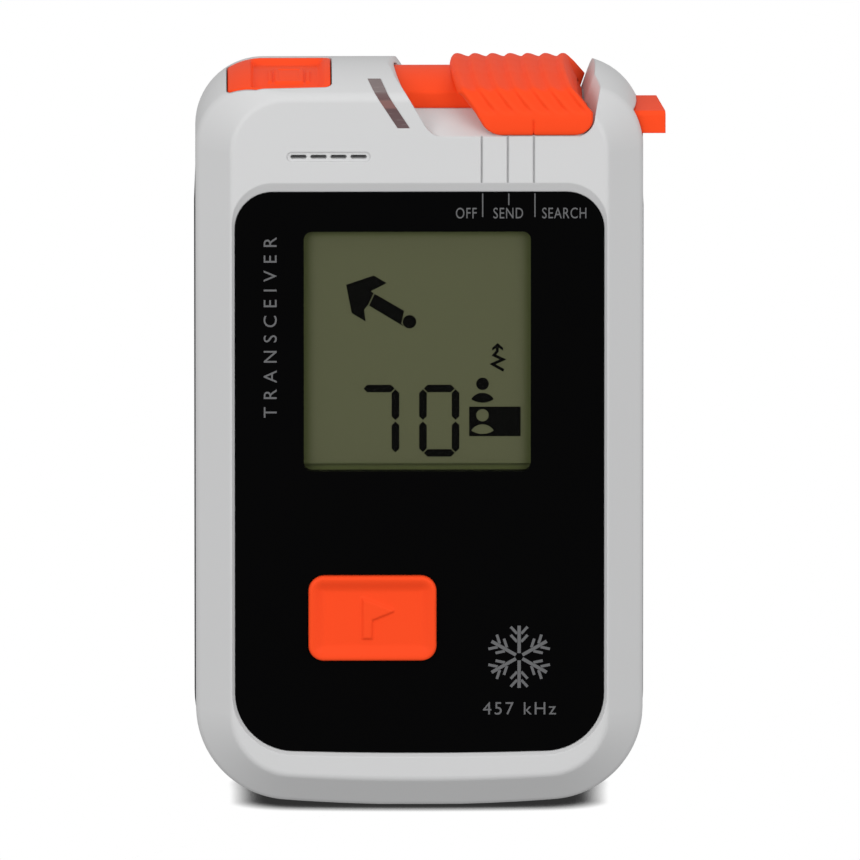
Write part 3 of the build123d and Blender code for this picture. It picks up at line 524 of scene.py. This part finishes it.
def rounded_grid(half_x, half_y, corner):
    """Grid over a rounded rectangle: square cells, with each corner block bent into a quarter disc."""
    def line(half):
        edge = np.linspace(0, corner, max(6, int(corner / CELL) + 1))
        middle = np.linspace(corner, 2 * half - corner, max(8, int((2 * half - 2 * corner) / CELL)))
        return np.concatenate([edge, middle[1:-1], 2 * half - edge[::-1]]) - half

    x, y = np.meshgrid(line(half_x), line(half_y))
    u = np.clip((np.abs(x) - (half_x - corner)) / corner, 0, 1)
    v = np.clip((np.abs(y) - (half_y - corner)) / corner, 0, 1)
    both = (u > 0) & (v > 0)
    bent_x = np.sign(x) * (half_x - corner + corner * u * np.sqrt(1 - v * v / 2))
    bent_y = np.sign(y) * (half_y - corner + corner * v * np.sqrt(1 - u * u / 2))
    return np.where(both, bent_x, x), np.where(both, bent_y, y)


def edge_distance(x, y, half_x, half_y, corner):
    """Distance inwards from the outline of a rounded rectangle."""
    qx = np.abs(x) - (half_x - corner)
    qy = np.abs(y) - (half_y - corner)
    outside = np.hypot(np.maximum(qx, 0), np.maximum(qy, 0)) + np.minimum(np.maximum(qx, qy), 0)
    return np.maximum(corner - outside, 0.0)


def inked(name, loops, y, thickness, slot):
    """Thin raised print or icon facing the front: loops of (x, z) points in millimetres, holes included."""
    curve = bpy.data.curves.new(name, "CURVE")
    curve.dimensions = "2D"
    curve.fill_mode = "BOTH"
    curve.extrude = thickness / 2 * MM
    for loop in loops:
        spline = curve.splines.new("POLY")
        spline.points.add(len(loop) - 1)
        for point, (x, z) in zip(spline.points, loop):
            point.co = (x * MM, z * MM, 0, 1)
        spline.use_cyclic_u = True
    curve_piece(name, curve, y, slot)


def curve_piece(name, curve, y, slot, place=(0.0, 0.0), turn=0.0):
    """Turns a flat curve or a text into a piece of the housing, upright at a Y and facing the front."""
    holder = bpy.data.objects.new(name + "_flat", curve)
    bpy.context.scene.collection.objects.link(holder)
    bpy.context.view_layer.update()
    mesh = bpy.data.meshes.new_from_object(holder.evaluated_get(bpy.context.evaluated_depsgraph_get()))
    bpy.data.objects.remove(holder)
    cos, sin = math.cos(turn), math.sin(turn)
    for vertex in mesh.vertices:
        flat_x, flat_z, out = vertex.co
        vertex.co = (place[0] * MM + cos * flat_x - sin * flat_z, y * MM - out,
                     place[1] * MM + sin * flat_x + cos * flat_z)
    mesh.name = name
    return add_piece(name, mesh, "housing", slot, smooth=False)


CAPITAL = 0.7              # height of a capital letter, as a part of the size of the type
PRINT = 0.016              # thickness of the print on the panel


def lettering(name, words, height, centre, y, turn=0.0, narrow=1.0, spacing=1.0):
    """Generic printed words, centred on a point of the panel."""
    curve = bpy.data.curves.new(name, "FONT")
    curve.body = words
    curve.align_x = "CENTER"
    curve.align_y = "CENTER"
    curve.size = height / CAPITAL * MM
    curve.space_character = spacing
    curve.extrude = PRINT / 2 * MM
    curve.resolution_u = 4
    piece = curve_piece(name, curve, y, "print_grey", centre, turn)
    if narrow != 1.0:
        for vertex in piece.data.vertices:
            vertex.co.x = centre[0] * MM + (vertex.co.x - centre[0] * MM) * narrow


def disc(centre, radius, points=40):
    """Outline of a disc."""
    return [(centre[0] + radius * math.cos(2 * math.pi * i / points),
             centre[1] + radius * math.sin(2 * math.pi * i / points)) for i in range(points)]


def arc_through(start, middle, end, points=16):
    """Points along the arc through three points, start and end included."""
    ax, ay = start
    bx, by = middle
    cx, cy = end
    d = 2 * (ax * (by - cy) + bx * (cy - ay) + cx * (ay - by))
    a_square = ax ** 2 + ay ** 2
    b_square = bx ** 2 + by ** 2
    c_square = cx ** 2 + cy ** 2
    ux = (a_square * (by - cy) + b_square * (cy - ay) + c_square * (ay - by)) / d
    uy = (a_square * (cx - bx) + b_square * (ax - cx) + c_square * (bx - ax)) / d
    radius = math.hypot(ax - ux, ay - uy)
    first = math.atan2(ay - uy, ax - ux)
    last = math.atan2(cy - uy, cx - ux)
    via = math.atan2(by - uy, bx - ux)
    sweep = (last - first) % (2 * math.pi)
    if (via - first) % (2 * math.pi) > sweep:
        sweep -= 2 * math.pi
    return [(ux + radius * math.cos(first + sweep * i / (points - 1)),
             uy + radius * math.sin(first + sweep * i / (points - 1))) for i in range(points)]


MITRE_LIMIT = 0.4          # a mitre sticks out by no more than the half width divided by this


def thick_line(points, width):
    """Outline of a line of even width with mitred corners."""
    left, right = [], []
    for i, (x, z) in enumerate(points):
        before = points[max(i - 1, 0)]
        after = points[min(i + 1, len(points) - 1)]
        a = Vector((x - before[0], z - before[1]))
        b = Vector((after[0] - x, after[1] - z))
        a = a.normalized() if a.length > 0 else b.normalized()
        b = b.normalized() if b.length > 0 else a
        normal = (Vector((-a.y, a.x)) + Vector((-b.y, b.x))).normalized()
        reach = width / 2 / max(MITRE_LIMIT, normal.dot(Vector((-a.y, a.x))))
        left.append((x + normal.x * reach, z + normal.y * reach))
        right.append((x - normal.x * reach, z - normal.y * reach))
    return left + right[::-1]


# ---- slider grip ------------------------------------------------------------------------------------

TOP = CAD_BOX[1].z / MM
RIB_SPAN = 16.9            # ribbed length of the grip along X
RIB_START = 0.72           # the first crest lies this far in from the left
RIB_PITCH = 2.59
RIB_FALL = 0.68            # parts of the pitch in which a crest falls and the next one climbs
RIB_CLIMB = 0.32
RIB_DEPTH = 0.45
RIB_FADE_Z = 105.3         # the ribs run out here, above the smooth lip
GRIP_ROWS = 170
GRIP_COLUMNS = 168
GRIP_ROUND = 0.5           # rounding along the left and right edges of the grip
GRIP_LIP = 0.35            # rounding at its front and back ends, over GRIP_LIP_ROWS rows
GRIP_LIP_ROWS = 5
GRIP_PLAY = 0.05           # the inner side stays this far inside the outer one at the left and right
GROOVE_X = 16.78           # index groove in the smooth lip, in line with the third position
GROOVE_TOP = 104.4
GROOVE_HALF = 0.15
GROOVE_DEPTH = 0.3
CROWN_R = 36.0             # the body's crowned top, seen from the side
CROWN_Y = 1.5
BAR_TOP = 109.58           # just over the crowned bar that the grip sits on
BAR_CROWN_R = 15.03
BAR_CROWN_Y = 1.8
BAR_Y = (-6.02, 6.42)
GRIP_WALL = 0.88           # the right end of the grip closes over the end of the bar
BAR_FEET_Z = (105.47, 105.32)        # front and back lower edges of the bar
LIP_INSIDE = (-12.0, 102.3)          # lower front end of the grip's inner side, as Y and Z


def crown_height(y):
    """Height of the body's crowned top over Y."""
    return TOP - CROWN_R + np.sqrt(CROWN_R ** 2 - (y - CROWN_Y) ** 2)


def bar_height(y):
    """Height of the crowned bar below the grip over Y."""
    return BAR_TOP - BAR_CROWN_R + np.sqrt(BAR_CROWN_R ** 2 - (y - BAR_CROWN_Y) ** 2)


def spread(points, count):
    """Even steps along a smooth line through the given points."""
    points = np.array(points, float)
    steps = np.concatenate([[0], np.cumsum(np.hypot(*np.diff(points, axis=0).T))])
    places = np.linspace(0, steps[-1], count)
    return np.stack([np.interp(places, steps, points[:, i]) for i in range(2)], 1)


def soften(line, times):
    """Rounds the corners of a line by averaging neighbours, with its ends kept."""
    for _ in range(times):
        line[1:-1] = (line[:-2] + 2 * line[1:-1] + line[2:]) / 4
    return line


def corner_cut(z, start, height, width):
    """How far a lower corner, rounded over a height and a width from start downwards, cuts in at z."""
    if z >= start:
        return 0.0
    return width * (1 - math.sqrt(max(0.0, 1 - ((start - z) / height) ** 2)))


def grip_sides(y, z):
    """Left and right limits of the grip at a point of its profile."""
    # Both sides lean to the left towards the top, and the left one is more upright below the ribs.
    left = 4.62 + 0.72 * (110.4 - z)
    if z < RIB_FADE_Z:
        left = 8.29 + 0.57 * (RIB_FADE_Z - z)
    right = min(21.5 + 0.80 * (110.5 - z), 25.55)
    left += corner_cut(z, start=103.6, height=1.66, width=2.0)
    right -= corner_cut(z, start=104.4, height=2.45, width=2.9)
    # The horn beside the grip leaves more room at the front.
    horn = 24.0 + 0.35 * (z - 105.0) + 0.3125 * max(0.0, -4 - y)
    return left, min(right, horn)


def grip_outer_profile(front, back):
    """Outer side of the grip seen from its end, as Y and Z, from the front lip over the top to the back."""
    corners = [(front + 0.1, 101.97), (front, 103.2), (front, 104.5), (front + 0.15, 106.0),
               (front + 0.4, 107.0), (front + 1.1, 108.8), (-10.0, 109.15), (-8.0, 109.5), (-4.0, 110.1),
               (0.0, 110.4), (4.0, TOP), (8.0, 110.3), (back - 1.1, 109.8), (back - 0.3, 109.0),
               (back, 107.0), (back, 104.42)]
    return soften(spread(corners, GRIP_ROWS), 10)


def grip_inner_profiles(back):
    """Inner side of the grip over the crowned bar, and straight across below the bar."""
    start = [LIP_INSIDE, (BAR_Y[0], BAR_FEET_Z[0])]
    end = [(BAR_Y[1], BAR_FEET_Z[1]), (back - 0.1, 104.48)]
    crown = [(y, float(bar_height(y))) for y in np.linspace(*BAR_Y, 14)]
    return spread(start + crown + end, GRIP_ROWS), spread(start + end, GRIP_ROWS)


def rib_wave(u):
    """Ribs along the grip, u from 0 to 1: 0 on a crest and 1 in a valley."""
    place = (u * RIB_SPAN - RIB_START) / RIB_PITCH
    place -= np.floor(place)
    # A crest falls gently to the valley two thirds along, then the next one climbs steeply.
    fall = 0.5 - 0.5 * np.cos(np.pi * np.clip(place / RIB_FALL, 0, 1))
    climb = 0.5 - 0.5 * np.cos(np.pi * np.clip((place - RIB_FALL) / RIB_CLIMB, 0, 1))
    return fall - climb


def make_grip():
    """Ribbed skin on the crowned bar, with its right end closed over the end of the bar."""
    low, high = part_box("slide_grip")
    front, back = low.y / MM, high.y / MM
    line = grip_outer_profile(front, back)
    inside, below = grip_inner_profiles(back)
    slope = np.gradient(line, axis=0)
    slope /= np.linalg.norm(slope, axis=1)[:, None]
    inward = np.stack([slope[:, 1], -slope[:, 0]], 1)
    u = np.linspace(0, 1, GRIP_COLUMNS)
    wave = rib_wave(u)
    # Column from which the inner side runs straight across below the bar, so that the end is closed.
    closed = int(GRIP_COLUMNS * (1 - GRIP_WALL / RIB_SPAN))
    outer = np.zeros((GRIP_ROWS, GRIP_COLUMNS, 3))
    inner = np.zeros((GRIP_ROWS, GRIP_COLUMNS, 3))
    for r in range(GRIP_ROWS):
        y, z = line[r]
        left, right = grip_sides(y, z)
        x = left + (right - left) * u
        edge = np.minimum(x - left, right - x)
        rib = float(smoothstep((z - RIB_FADE_Z + 0.3) / 1.3)) * RIB_DEPTH
        end = min(1.0, r / GRIP_LIP_ROWS, (GRIP_ROWS - 1 - r) / GRIP_LIP_ROWS)
        lip = edge_drop(np.full(GRIP_COLUMNS, end * GRIP_LIP), GRIP_LIP)
        drop = rib * wave + edge_drop(edge, GRIP_ROUND) + lip
        outer[r, :, 0] = x
        outer[r, :, 1] = y + inward[r, 0] * drop
        outer[r, :, 2] = z + inward[r, 1] * drop
        for path, chosen in ((inside, u < u[closed]), (below, u >= u[closed])):
            in_y, in_z = path[r]
            in_left, in_right = grip_sides(in_y, in_z)
            inner[r, chosen, 0] = in_left + GRIP_PLAY + (in_right - in_left - 2 * GRIP_PLAY) * u[chosen]
            inner[r, chosen, 1] = in_y
            inner[r, chosen, 2] = in_z
    beside = (outer[:, :, 0] - GROOVE_X) / GROOVE_HALF
    groove = np.exp(-beside ** 2) * smoothstep((GROOVE_TOP - outer[:, :, 2]) / 0.3)
    outer[:, :, 1] += GROOVE_DEPTH * groove * (outer[:, :, 1] < 0)
    piece = add_piece("grip_skin", shell_mesh("grip_skin", outer, inner), "slider", "orange_plastic")
    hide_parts("slide_grip")


# ---- flag button ------------------------------------------------------------------------------------

# Pole at the left and pennant to the right, in millimetres from the button's middle.
FLAG = [(-1.45, 3.07), (3.05, 1.3), (3.05, 0.95), (0.0, -0.3), (-0.08, -3.06), (-1.45, -3.06)]
FLAG_HEIGHT = 0.38
BUTTON_HALF_X = 9.45
BUTTON_HALF_Z = 6.4
BUTTON_CORNER = 2.3
BUTTON_ROUND = 0.5
BUTTON_RIM = 0.45          # width of the rim round the dish
BUTTON_SLOPE = 2.1         # width over which the dish falls to its depth
BUTTON_DISH = 0.6          # depth of the dish at the button's middle
BUTTON_TILT = 0.25         # it is deeper by this at the top and shallower at the bottom
BUTTON_TAPER = 0.985
BUTTON_CAP_BACK = 0.7      # the cap's back lies this far in front of the button's own


def polygon_depth(x, z, points):
    """Distance from the outline of a polygon: positive inside it, negative outside."""
    distance = np.full(x.shape, 1e9)
    inside = np.zeros(x.shape, bool)
    for (ax, az), (bx, bz) in zip(points, points[1:] + points[:1]):
        side_x = bx - ax
        side_z = bz - az
        along = ((x - ax) * side_x + (z - az) * side_z) / (side_x ** 2 + side_z ** 2)
        along = np.clip(along, 0, 1)
        distance = np.minimum(distance, np.hypot(x - ax - along * side_x, z - az - along * side_z))
        if side_z != 0:
            inside ^= ((az > z) != (bz > z)) & (x < side_x * (z - az) / side_z + ax)
    return np.where(inside, distance, -distance)


def make_flag_button():
    """Cap of the flag button: a narrow rim round a dish, with the raised flag in it."""
    low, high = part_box("flag_button")
    centre_x = (low.x + high.x) / 2 / MM
    centre_z = (low.z + high.z) / 2 / MM
    front = low.y / MM
    x, z = rounded_grid(BUTTON_HALF_X, BUTTON_HALF_Z, BUTTON_CORNER)
    edge = edge_distance(x, z, BUTTON_HALF_X, BUTTON_HALF_Z, BUTTON_CORNER)
    floor = BUTTON_DISH + BUTTON_TILT * z / BUTTON_HALF_Z
    dish = smoothstep((edge - BUTTON_RIM) / BUTTON_SLOPE) * floor
    flag = FLAG_HEIGHT * smoothstep((polygon_depth(x, z, FLAG) + 0.25) / 0.5)
    depth = dish - flag + edge_drop(edge, BUTTON_ROUND)
    outer = np.stack([centre_x + x, front + depth, centre_z + z], -1)
    back = np.full_like(x, high.y / MM - BUTTON_CAP_BACK)
    inner = np.stack([centre_x + x * BUTTON_TAPER, back, centre_z + z * BUTTON_TAPER], -1)
    mesh = shell_mesh("flag_button_cap", outer, inner)
    piece = add_piece("flag_button_cap", mesh, "button", "orange_plastic")
    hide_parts("flag_button")


# ---- battery latch ----------------------------------------------------------------------------------

# Front edge of the latch over X: it turns back at the left, where the body's corner falls away.
LATCH_FRONT_X = (-28.25, -24.0, -13.05)
LATCH_FRONT_Y = (-7.85, -9.75, -9.3)
LATCH_BACK = 5.25
LATCH_HALF_Y = 7.2
LATCH_CORNER = 1.05
LATCH_CAP_FOOT = 105.0
LATCH_SINK = 0.08          # the cap lies this far below the body's crown
LATCH_ROUND = 0.3
LATCH_DISH = 0.95          # depth of the finger dish
SHOULDER_X = -23.0         # to the left of this the body's corner falls away
SHOULDER_R = 10            # radius of that corner
SIGN_PLACE = (-19.2, -3.2)
SIGN_HALF = (2.25, 3.2)
PLATE_SIZE = (13.7, 17.0, 1.0)
PLATE_X = -19.95
PLATE_RISE = 3.0           # middle of the plate over the foot of the post
POST_PLACE = (-20.5, -1.0)
POST_R = 2.2
POST_HEIGHT = 2.5


def make_latch():
    """Cap of the battery latch, crowned like the body, with a finger dish and the battery sign."""
    half_x = (LATCH_FRONT_X[2] - LATCH_FRONT_X[0]) / 2
    grid_x, grid_y = rounded_grid(half_x, LATCH_HALF_Y, LATCH_CORNER)
    edge = edge_distance(grid_x, grid_y, half_x, LATCH_HALF_Y, LATCH_CORNER)
    x = grid_x + LATCH_FRONT_X[0] + half_x
    front = np.interp(x, LATCH_FRONT_X, LATCH_FRONT_Y)
    y = front + (LATCH_BACK - front) * (grid_y + LATCH_HALF_Y) / (2 * LATCH_HALF_Y)
    # The top follows the body's crown and, at its left, the rounded corner of the body.
    shoulder = np.clip(SHOULDER_X - x, 0, SHOULDER_R - 0.1)
    top = crown_height(y) - LATCH_SINK - (SHOULDER_R - np.sqrt(SHOULDER_R ** 2 - shoulder ** 2))
    # Finger dish: steep at its left, sloping at its back, gentle at its right.
    across = smoothstep((x + 25.0) / 0.7) * smoothstep((-13.75 - x) / 1.4)
    depth = smoothstep((y - front - 0.35) / 0.9) * smoothstep((LATCH_BACK - 0.4 - y) / 1.9)
    z = top - LATCH_DISH * across * depth - edge_drop(edge, LATCH_ROUND)
    z += battery_sign(x - SIGN_PLACE[0], y - SIGN_PLACE[1])
    outer = np.stack([x, y, z], -1)
    inner = np.stack([x, y, np.full_like(z, LATCH_CAP_FOOT)], -1)
    piece = add_piece("latch_cap", shell_mesh("latch_cap", outer, inner), "latch", "orange_plastic")
    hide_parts("battery_latch")
    make_latch_base()


def battery_sign(x, y):
    """Height of the raised battery sign: a body with a bar beside each end."""
    half_x, half_y = SIGN_HALF
    within = np.maximum(np.abs(x) - half_x, np.abs(y) - half_y) < 0
    body = edge_distance(x, y, half_x, half_y, 0.5) * within
    height = 0.32 * smoothstep(body / 0.28) - 0.14 * smoothstep((body - 0.5) / 0.3)
    for side in (-1, 1):
        bar_x = x - side * 2.8
        bar = np.minimum(0.3 - np.abs(bar_x), 2.3 - np.abs(y + 0.5))
        height += 0.28 * smoothstep((bar + 0.1) / 0.25)
    return height


def make_latch_base():
    """Plate below the latch's cap, and the post below the plate."""
    low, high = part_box("battery_latch")
    bm = bmesh.new()
    plate = bmesh.ops.create_cube(bm, size=1.0)
    size = Vector(PLATE_SIZE) * MM
    centre = Vector((PLATE_X * MM, high.y - size.y / 2, low.z + PLATE_RISE * MM))
    for vertex in plate["verts"]:
        vertex.co = centre + Vector(a * b for a, b in zip(vertex.co, size))
    post = bmesh.ops.create_cone(bm, cap_ends=True, segments=32, radius1=POST_R * MM, radius2=POST_R * MM,
                                 depth=POST_HEIGHT * MM)
    foot = (POST_PLACE[0] * MM, POST_PLACE[1] * MM, low.z + POST_HEIGHT / 2 * MM)
    bmesh.ops.translate(bm, verts=post["verts"], vec=foot)
    bmesh.ops.bevel(bm, geom=list(bm.edges), offset=0.15 * MM, segments=2, affect="EDGES")
    mesh = bpy.data.meshes.new("latch_base")
    bm.to_mesh(mesh)
    bm.free()
    add_piece("latch_base", mesh, "latch", "orange_plastic", smooth=False)


def make_giving(name, node, body, slot):
    """Springy part, as a copy of its CAD node that stands in the node's place."""
    low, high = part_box(node)
    mesh = NODES[node].data.copy()
    mesh.transform(NODES[node].matrix_world)
    piece = add_piece(name, mesh, body, slot)
    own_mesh(piece)
    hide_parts(node)


# ---- display contents -------------------------------------------------------------------------------

INK = 0.06                 # thickness of the dark segments
SEGMENT_WIDTH = 1.1        # of the bars of a digit
SEGMENT_GAP = 0.13         # between the end of a bar and the digit's corner
SEVEN = ("top", "upper_right", "lower_right")
ZERO = ("top", "foot", "upper_left", "upper_right", "lower_left", "lower_right")


def display_centre():
    """X and Z of the middle of the display window."""
    low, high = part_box("display_window")
    return (low.x + high.x) / 2 / MM, (low.z + high.z) / 2 / MM


def segment(a, b, width):
    """One bar of a digit, with pointed ends, between two corner points."""
    a, b = Vector(a), Vector(b)
    along = (b - a).normalized()
    side = Vector((-along.y, along.x)) * width / 2
    lead = along * width / 2
    return [tuple(a), tuple(a + lead + side), tuple(b - lead + side), tuple(b), tuple(b - lead - side),
            tuple(a + lead - side)]


def make_digit(left, right, top, foot, bars):
    """Outlines of the chosen bars of a digit."""
    middle = (top + foot) / 2
    gap = SEGMENT_GAP
    corners = {"top": ((left + gap, top), (right - gap, top)),
               "foot": ((left + gap, foot), (right - gap, foot)),
               "upper_left": ((left, top - gap), (left, middle + gap)),
               "upper_right": ((right, top - gap), (right, middle + gap)),
               "lower_left": ((left, middle - gap), (left, foot + gap)),
               "lower_right": ((right, middle - gap), (right, foot + gap))}
    return [segment(*corners[bar], SEGMENT_WIDTH) for bar in bars]


def person(x, z):
    """Head and shoulders sign."""
    shoulders = arc_through((x - 1.66, z - 2.3), (x, z - 1.36), (x + 1.66, z - 2.3))
    shoulders += arc_through((x + 1.66, z - 2.3), (x, z - 2.83), (x - 1.66, z - 2.3))[1:-1]
    return [disc((x, z), 0.93), shoulders]


def make_display():
    """Dark segments in front of the display glass: arrow, digits, zigzag and two person signs."""
    cx, cz = display_centre()
    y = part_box("display_cell")[0].y / MM - INK / 2

    def ink(name, loops):
        moved = [[(cx + a, cz + b) for a, b in loop] for loop in loops]
        inked(name, moved, y, INK, "display_ink")

    head = [(-10.48, 9.77), (-6.42, 11.17), (-4.5, 10.03), (-6.84, 8.83), (-7.86, 6.05), (-7.62, 4.27),
            (-9.66, 5.53)]
    neck = [(-6.84, 8.83), (-6.45, 8.5), (-7.25, 6.75), (-7.86, 6.05)]
    ink("segment_arrow_head", [head])
    ink("segment_arrow_neck", [neck])
    shaft = [(-6.28, 8.4), (-1.95, 5.85), (-2.35, 3.95), (-2.05, 3.55), (-7.1, 6.65)]
    ink("segment_arrow_shaft", [shaft])
    ink("segment_arrow_dot", [disc((-1.15, 4.2), 0.99)])
    ink("segment_seven", make_digit(-8.05, -3.22, -5.86, -15.6, SEVEN))
    ink("segment_zero", make_digit(0.84, 5.64, -5.86, -15.57, ZERO))
    zigzag = [(12.75, -3.15), (11.1, -2.2), (12.65, -1.5), (11.3, -0.85), (11.8, -0.25), (11.8, 0.35)]
    ink("segment_zigzag", [thick_line(zigzag, 0.42)])
    tip = [(11.85, 0.98), (12.65, 0.25), (12.65, -0.17), (11.85, 0.42), (11.05, -0.17), (11.05, 0.25)]
    ink("segment_zigzag_head", [tip])
    ink("segment_person", person(9.62, -5.17))
    box = [(7.66, -8.62), (15.24, -8.62), (15.24, -13.05), (7.66, -13.05)]
    ink("segment_card", [box] + person(9.62, -9.9))


# ---- printing on the panel --------------------------------------------------------------------------

def snowflake(x, z, radius):
    """Generic six-armed snow crystal."""
    loops = []
    for arm in range(6):
        turn = math.radians(60 * arm + 30)

        def along(distance, side=0.0):
            return (x + distance * math.cos(turn) - side * math.sin(turn),
                    z + distance * math.sin(turn) + side * math.cos(turn))

        loops.append(thick_line([along(0.55), along(radius)], 0.5))
        for reach in (0.48, 0.74):
            for side in (-1, 1):
                start = reach * radius
                loops.append(thick_line([along(start, side * 0.3), along(start + 1.05, side * 1.25)], 0.4))
    return loops


LABEL_LINE = 0.18          # width of the line from a label up to the slider
PRINT_LIFT = 0.012         # the middle of the print lies this far in front of the panel


def make_printing():
    """Generic words, lines and a snow crystal on the front panel."""
    low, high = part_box("front_panel")
    y = low.y / MM - PRINT_LIFT
    line_top = high.z / MM - 0.15
    for name, words, x in (("label_off", "OFF", 6.87), ("label_send", "SEND", 13.07),
                           ("label_search", "SEARCH", 21.35)):
        lettering(name, words, 1.62, (x, 90.1), y, narrow=0.74, spacing=1.1)
    for number, (x, foot) in enumerate(((9.3, 89.6), (13.15, 91.4), (17.0, 89.6))):
        left = x - LABEL_LINE / 2
        right = x + LABEL_LINE / 2
        loop = [(left, foot), (right, foot), (right, line_top), (left, line_top)]
        inked(f"label_line_{number}", [loop], y, PRINT, "print_grey")
    lettering("label_side", "TRANSCEIVER", 1.95, (-21.9, 73.0), y, turn=math.pi / 2, spacing=1.7)
    for number, loop in enumerate(snowflake(14.7, 23.3, 4.7)):
        inked(f"label_snow_{number}", [loop], y, PRINT, "print_grey")
    lettering("label_frequency", "457 kHz", 1.9, (14.75, 15.4), y, spacing=1.2)


# ---- assembly ---------------------------------------------------------------------------------------

make_camera()
make_stage()
make_materials()
paint_frame()
make_grip()
make_flag_button()
make_latch()
make_giving("latch_coil", "latch_spring", "housing", "steel")
make_giving("catch_blade", "door_catch", "door", "steel")
make_display()
make_printing()

bpy.context.scene.view_settings.view_transform = "Standard"
